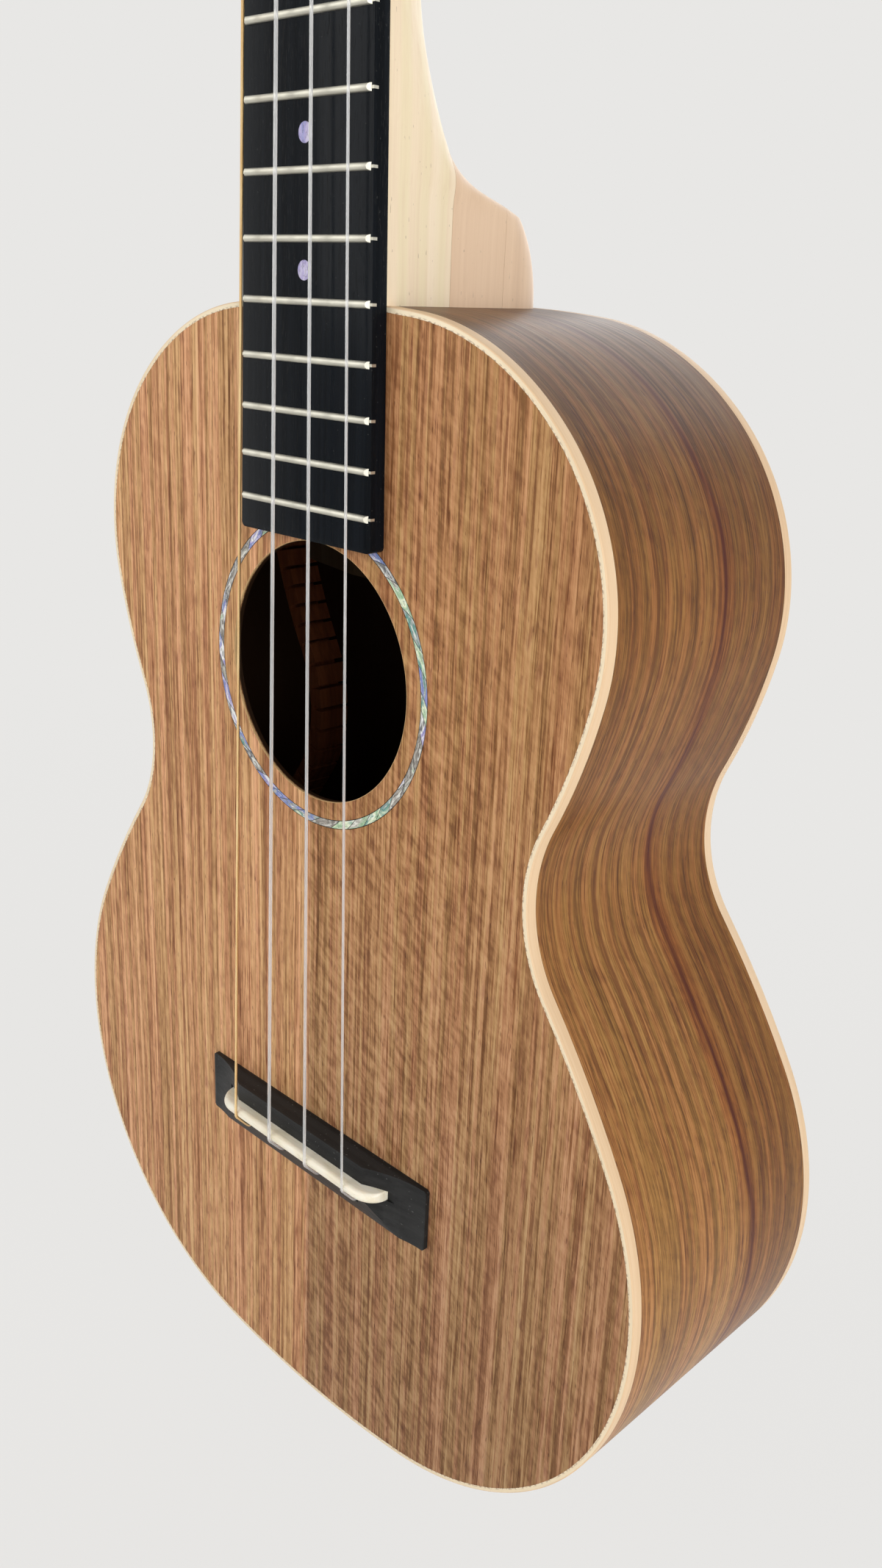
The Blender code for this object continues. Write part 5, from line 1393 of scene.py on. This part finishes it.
def make_post(paint, tuner, x, height):
    back = GEAR_FRONT_Y + GEAR_THICKNESS
    tail = back + POST_TAIL
    profile = [(0, POST_RISE), (POST_RADIUS - POST_EDGE, POST_RISE), (POST_RADIUS, POST_RISE - POST_EDGE),
               (POST_RADIUS, POST_WAIST_END), (POST_WAIST_RADIUS, POST_WAIST_END - POST_EDGE),
               (POST_WAIST_RADIUS, POST_WAIST_START + POST_EDGE), (POST_RADIUS, POST_WAIST_START),
               (POST_RADIUS, -HUB_FRONT_Y), (GEAR_HUB_RADIUS, -HUB_FRONT_Y),
               (GEAR_HUB_RADIUS, -GEAR_MIDDLE_Y), (POST_RADIUS, -GEAR_MIDDLE_Y),
               (POST_RADIUS, POST_TAIL_EDGE - tail), (POST_RADIUS - POST_TAIL_EDGE, -tail), (0, -tail)]
    post = turned_mesh(profile)
    post.transform(Matrix.Rotation(math.pi / 2, 4, "X"))
    gear = flat_mesh([gear_loop()], GEAR_FRONT_Y, back)
    hole = cylinder_mesh((0, -STRING_ANCHOR_RISE, 0), (0, -STRING_ANCHOR_RISE, PAST), POST_HOLE_RADIUS, 16)
    reach = POST_RADIUS * 0.8
    slot = box_mesh((-reach, back + POST_SLOT, -POST_SLOT), (reach, REACH, POST_SLOT))
    mesh = in_head(carved(post, hole, slot, join=[gear]), (x, 0, height))
    body = tuner + "string_post"
    add_piece(body, mesh, paint["nickel"], (tuner + "post",), body, sharp=30)


def make_plate(paint, tuner, x, height):
    """A plate with rounded corners, two ears that carry the worm shaft, and its two screws."""
    back = PLATE_FRONT_Y + PLATE_THICKNESS
    side = PLATE_WIDTH / 2 - PLATE_CORNER
    above, below = PLATE_ABOVE - PLATE_CORNER, PLATE_CORNER - PLATE_BELOW
    loop = []
    for quarter, centre in enumerate(((side, above), (-side, above), (-side, below), (side, below))):
        loop += arc(PLATE_CORNER, PLATE_CORNER, 90 * quarter, 90 * quarter + 90, 4, centre)
    plate = bevelled(flat_mesh([loop], HEAD_THICKNESS, back), PLATE_EDGE, 2, 50)
    reach, root = WORM_SHAFT_RADIUS + EAR_WALL, PLATE_FRONT_Y + PLATE_THICKNESS / 2
    ear = [(root, reach - WORM_DROP), *arc(reach, reach, 90, -90, 12, (GEAR_MIDDLE_Y, -WORM_DROP)),
           (root, -reach - WORM_DROP)]
    ears = [flat_mesh([ear], centre - EAR_THICKNESS / 2, centre + EAR_THICKNESS / 2, "YZ")
            for centre in (-EAR_SPACING / 2, EAR_SPACING / 2)]
    bearing = cylinder_mesh((-REACH, GEAR_MIDDLE_Y, -WORM_DROP), (REACH, GEAR_MIDDLE_Y, -WORM_DROP),
                            WORM_SHAFT_RADIUS + BEARING_CLEARANCE, 24)
    hole = cylinder_mesh((0, 0, 0), (0, REACH, 0), POST_RADIUS + BEARING_CLEARANCE, 32)
    mesh = in_head(carved(plate, bearing, hole, join=ears), (x, 0, height))
    add_piece(tuner + "base_plate", mesh, paint["nickel"], (tuner + "plate",), sharp=30)
    for label, across in (("a", -SCREW_X), ("b", SCREW_X)):
        make_screw(paint, tuner + "screw_" + label, (x + across, back, height + SCREW_RISE))


def make_screw(paint, name, place):
    """A round-headed screw with a slot, standing out along +Y of the head."""
    dome, shank = SCREW_RADIUS * 0.45, SCREW_RADIUS * 0.5
    profile = [(0, dome), *arc(SCREW_RADIUS, dome, 90, 0, 6)[1:], (shank, -SCREW_LIP),
               (shank, -SCREW_LENGTH), (0, -SCREW_POINT)]
    slot = box_mesh((-SCREW_RADIUS * 1.2, -SCREW_SLOT, SCREW_RADIUS * 0.2),
                    (SCREW_RADIUS * 1.2, SCREW_SLOT, SCREW_RADIUS))
    mesh = carved(turned_mesh(profile, 28), slot)
    mesh.transform(Matrix.Rotation(-math.pi / 2, 4, "X"))
    add_piece(name, in_head(mesh, place), paint["screw"], sharp=30)


def make_bushing(paint, tuner, x, height):
    """A domed ring round the post, on the face of the head."""
    inner, outer = POST_RADIUS + POST_CLEARANCE, BUSHING_RADIUS
    wall, shoulder, rise = inner + BUSHING_WALL, outer - BUSHING_WALL, BUSHING_RISE
    profile = [(inner, -BUSHING_DEPTH), (inner, rise - BUSHING_LIP), (inner + BUSHING_ROUND, rise),
               (shoulder, rise * 0.75), (outer, BUSHING_LIP), (outer, 0.0), (wall, 0.0),
               (wall, -BUSHING_DEPTH)]
    mesh = turned_mesh(profile, 40, True)
    mesh.transform(Matrix.Rotation(math.pi / 2, 4, "X"))
    add_piece(tuner + "bushing", in_head(mesh, (x, 0, height)), paint["nickel"], sharp=30)


def make_button(paint, tuner, x, height):
    body = tuner + "worm_shaft"
    side = 1 if x > 0 else -1
    place = (x, GEAR_MIDDLE_Y, height - WORM_DROP)
    inner = -side * (EAR_SPACING / 2 + EAR_THICKNESS / 2 + WORM_SHAFT_END)
    start = side * (HEAD_WIDTH / 2 + BUTTON_STAND_OFF - POST_X)
    shaft = cylinder_mesh((inner, 0, 0), (start + side * SHAFT_IN_BUTTON, 0, 0), WORM_SHAFT_RADIUS, 32)
    half_count = round(WORM_TURNS * WORM_STEPS / 2)
    points = []
    for i in range(-half_count, half_count + 1):
        angle = 2 * math.pi * i / WORM_STEPS
        points.append((WORM_PITCH * i / WORM_STEPS, -WORM_THREAD_CENTRE * math.sin(angle),
                       WORM_THREAD_CENTRE * math.cos(angle)))
    worm = carved(shaft, join=[tube_mesh(points, WORM_THREAD_RADIUS, 10)])
    add_piece(tuner + "worm", in_head(worm, place), paint["nickel"], (), body, sharp=30)
    knob = button_mesh(side)
    knob.transform(Matrix.Translation((start, 0, 0)))
    add_piece(tuner + "knob", in_head(knob, place), paint["pearl"], (tuner + "button",), body, sharp=50)


def button_mesh(side):
    """A flattened oval button with a short collar, growing from the shaft's end."""
    stations = []
    for i in range(23):
        angle = math.pi * i / 22
        share = max(math.sin(angle), 0.0) ** BUTTON_FULLNESS
        collar = BUTTON_COLLAR if i < 11 else BUTTON_TIP
        deep, wide = max(BUTTON_DEPTH / 2 * share, collar), max(BUTTON_WIDTH / 2 * share, collar)
        along = side * BUTTON_LENGTH / 2 * (1 - math.cos(angle))
        stations.append([(along, y, z) for y, z in arc(deep, wide, 0, 360, 40)[:-1]])
    return loft_mesh(stations)


# Strings
def tangent_angle(from_z, from_y, centre_z, centre_y, radius, sign):
    """Degrees at which a line from a point touches a circle."""
    dz, dy = from_z - centre_z, from_y - centre_y
    return math.degrees(math.atan2(dy, dz) + sign * math.acos(radius / math.hypot(dz, dy)))


def saddle_stretch(radius, x_saddle, x_nut):
    """Points from the knot under the plate, up the hole, over the saddle and to the nut."""
    bend = SADDLE_THICKNESS / 2 + radius
    centre_y = -SADDLE_TOP + SADDLE_THICKNESS / 2
    exit_y = bridge_back_y(STRING_HOLE_Z) - STRING_EXIT_RISE
    knot_y = SOUNDBOARD_THICKNESS + BRIDGE_PLATE_THICKNESS + 2 * GAP + KNOT_RADIUS
    start = tangent_angle(STRING_HOLE_Z, exit_y, SADDLE_Z, centre_y, bend, 1) % 360
    end = tangent_angle(NUT_Z, -STRING_HEIGHT_NUT, SADDLE_Z, centre_y, bend, -1) % 360
    route = [(STRING_HOLE_Z, knot_y + KNOT_RADIUS * share) for share in (1, 0.5, -0.5, -1)]
    route += [(STRING_HOLE_Z + along, exit_y + drop) for along, drop in STRING_EXIT]
    route += arc(bend, bend, start, end, 12, (SADDLE_Z, centre_y))
    points = [(x_saddle, y, z) for z, y in route]
    last, nut = Vector(points[-1]), Vector((x_nut, -STRING_HEIGHT_NUT, NUT_Z))
    return points + [tuple(last.lerp(nut, i / 12)) for i in range(1, 13)]


def winding_stretch(radius, x, height, turn, nut_x):
    """Points in the head's frame: the turns round the post, from just before they start to the anchor."""
    reach, bend = POST_WAIST_RADIUS + GAP + radius, GAP + radius
    first = math.atan2(-height, nut_x - x) - turn * math.acos(reach / math.hypot(nut_x - x, height))
    last = math.pi / 2 + turn * math.asin(bend / reach)
    span = (last - first) * turn % (2 * math.pi) + (WINDING_TURNS - 1) * 2 * math.pi
    rise = (2 * radius + WINDING_GAP) * span / (2 * math.pi)
    count = 48 * WINDING_TURNS
    lead = round(WINDING_LEAD / span * count)
    points = []
    for i in range(-lead, count + 1):
        angle = first + turn * span * i / count
        points.append((x + reach * math.cos(angle), -STRING_ANCHOR_RISE + rise * (1 - max(i / count, 0)),
                       height + reach * math.sin(angle)))
    into = arc(turn * bend, bend, 90, 0, 6, (x - turn * bend, height + POST_WAIST_RADIUS))[1:]
    into.append((x, height + ANCHOR_END))
    return points + [(u, -STRING_ANCHOR_RISE, v) for u, v in into], points[lead]


def make_strings(paint):
    for index, diameter in enumerate(STRING_DIAMETERS):
        string, tuner = f"string_{4 - index}", f"tuner_{4 - index}_"
        x, height = tuner_places()[3 - index]
        radius = diameter / 2
        x_nut = string_x_nut(index)
        leave_y = -STRING_HEIGHT_NUT + NUT_THICKNESS * math.sin(HEAD_TILT / 2)
        winding, meet = winding_stretch(radius, x, height, 1 if x > 0 else -1, x_nut)
        points = saddle_stretch(radius, string_x_saddle(index), x_nut)
        points += [(x_nut, leave_y, NUT_Z + NUT_THICKNESS), tuple(HEAD @ Vector(meet))]
        knot = KNOT_RADIUS / radius
        radii = [0.4 * knot, knot, knot] + [1] * (len(points) - 3)
        material, slot = (paint["clear"], "clear") if index else (paint["gold"], "gold_wire")
        add_piece(string + "_line", tube_mesh(points, radius, 14, radii), material, (string,))
        turns = tube_mesh([tuple(HEAD @ Vector(p)) for p in winding], radius, 14)
        add_piece(string + "_turns", turns, material, (), tuner + "string_post")


def paint_kept_nodes(paint):
    """Materials for the inside timbers, which keep their own solids; the spruce ones are dark with painted
    shade.
    """
    kinds = {"bridge_plate": "plate", "neck_block": "spruce", "tail_block": "spruce"}
    for name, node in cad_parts.items():
        if "_brace_" in name:
            kinds[name] = "spruce"
        if name in kinds:
            node.data.materials.clear()
            node.data.materials.append(paint[kinds[name]])


def make_lights():
    """A broad soft light from the front and bass side, a fill for the treble side and a weak one behind."""
    target = (0.0, 0.0, -0.30)
    area_light("key", (-0.55, -1.20, 0.25), target, 1.1, 1.1, 9.0, (1.0, 0.99, 0.97))
    area_light("fill", (1.25, -0.35, -0.10), target, 1.0, 1.0, 10.5, (1.0, 0.995, 0.985))
    area_light("behind", (-0.30, 1.20, 0.10), target, 1.0, 1.0, 5.0)


make_camera()
make_world()
make_lights()
make_floor(CAD_BOUNDS[0][2])
PAINT = make_materials()
for maker in (make_soundboard, make_rosette, make_bindings, make_sides, make_back, make_linings,
              make_bridge, make_saddle, make_fingerboard, make_frets, make_neck, make_nut, make_strings,
              paint_kept_nodes):
    maker(PAINT)
for post, (post_x, post_height) in enumerate(tuner_places(), 1):
    for maker in (make_plate, make_post, make_button, make_bushing):
        maker(PAINT, f"tuner_{post}_", post_x, post_height)

bpy.context.scene.view_settings.view_transform = "Standard"
bpy.context.view_layer.update()
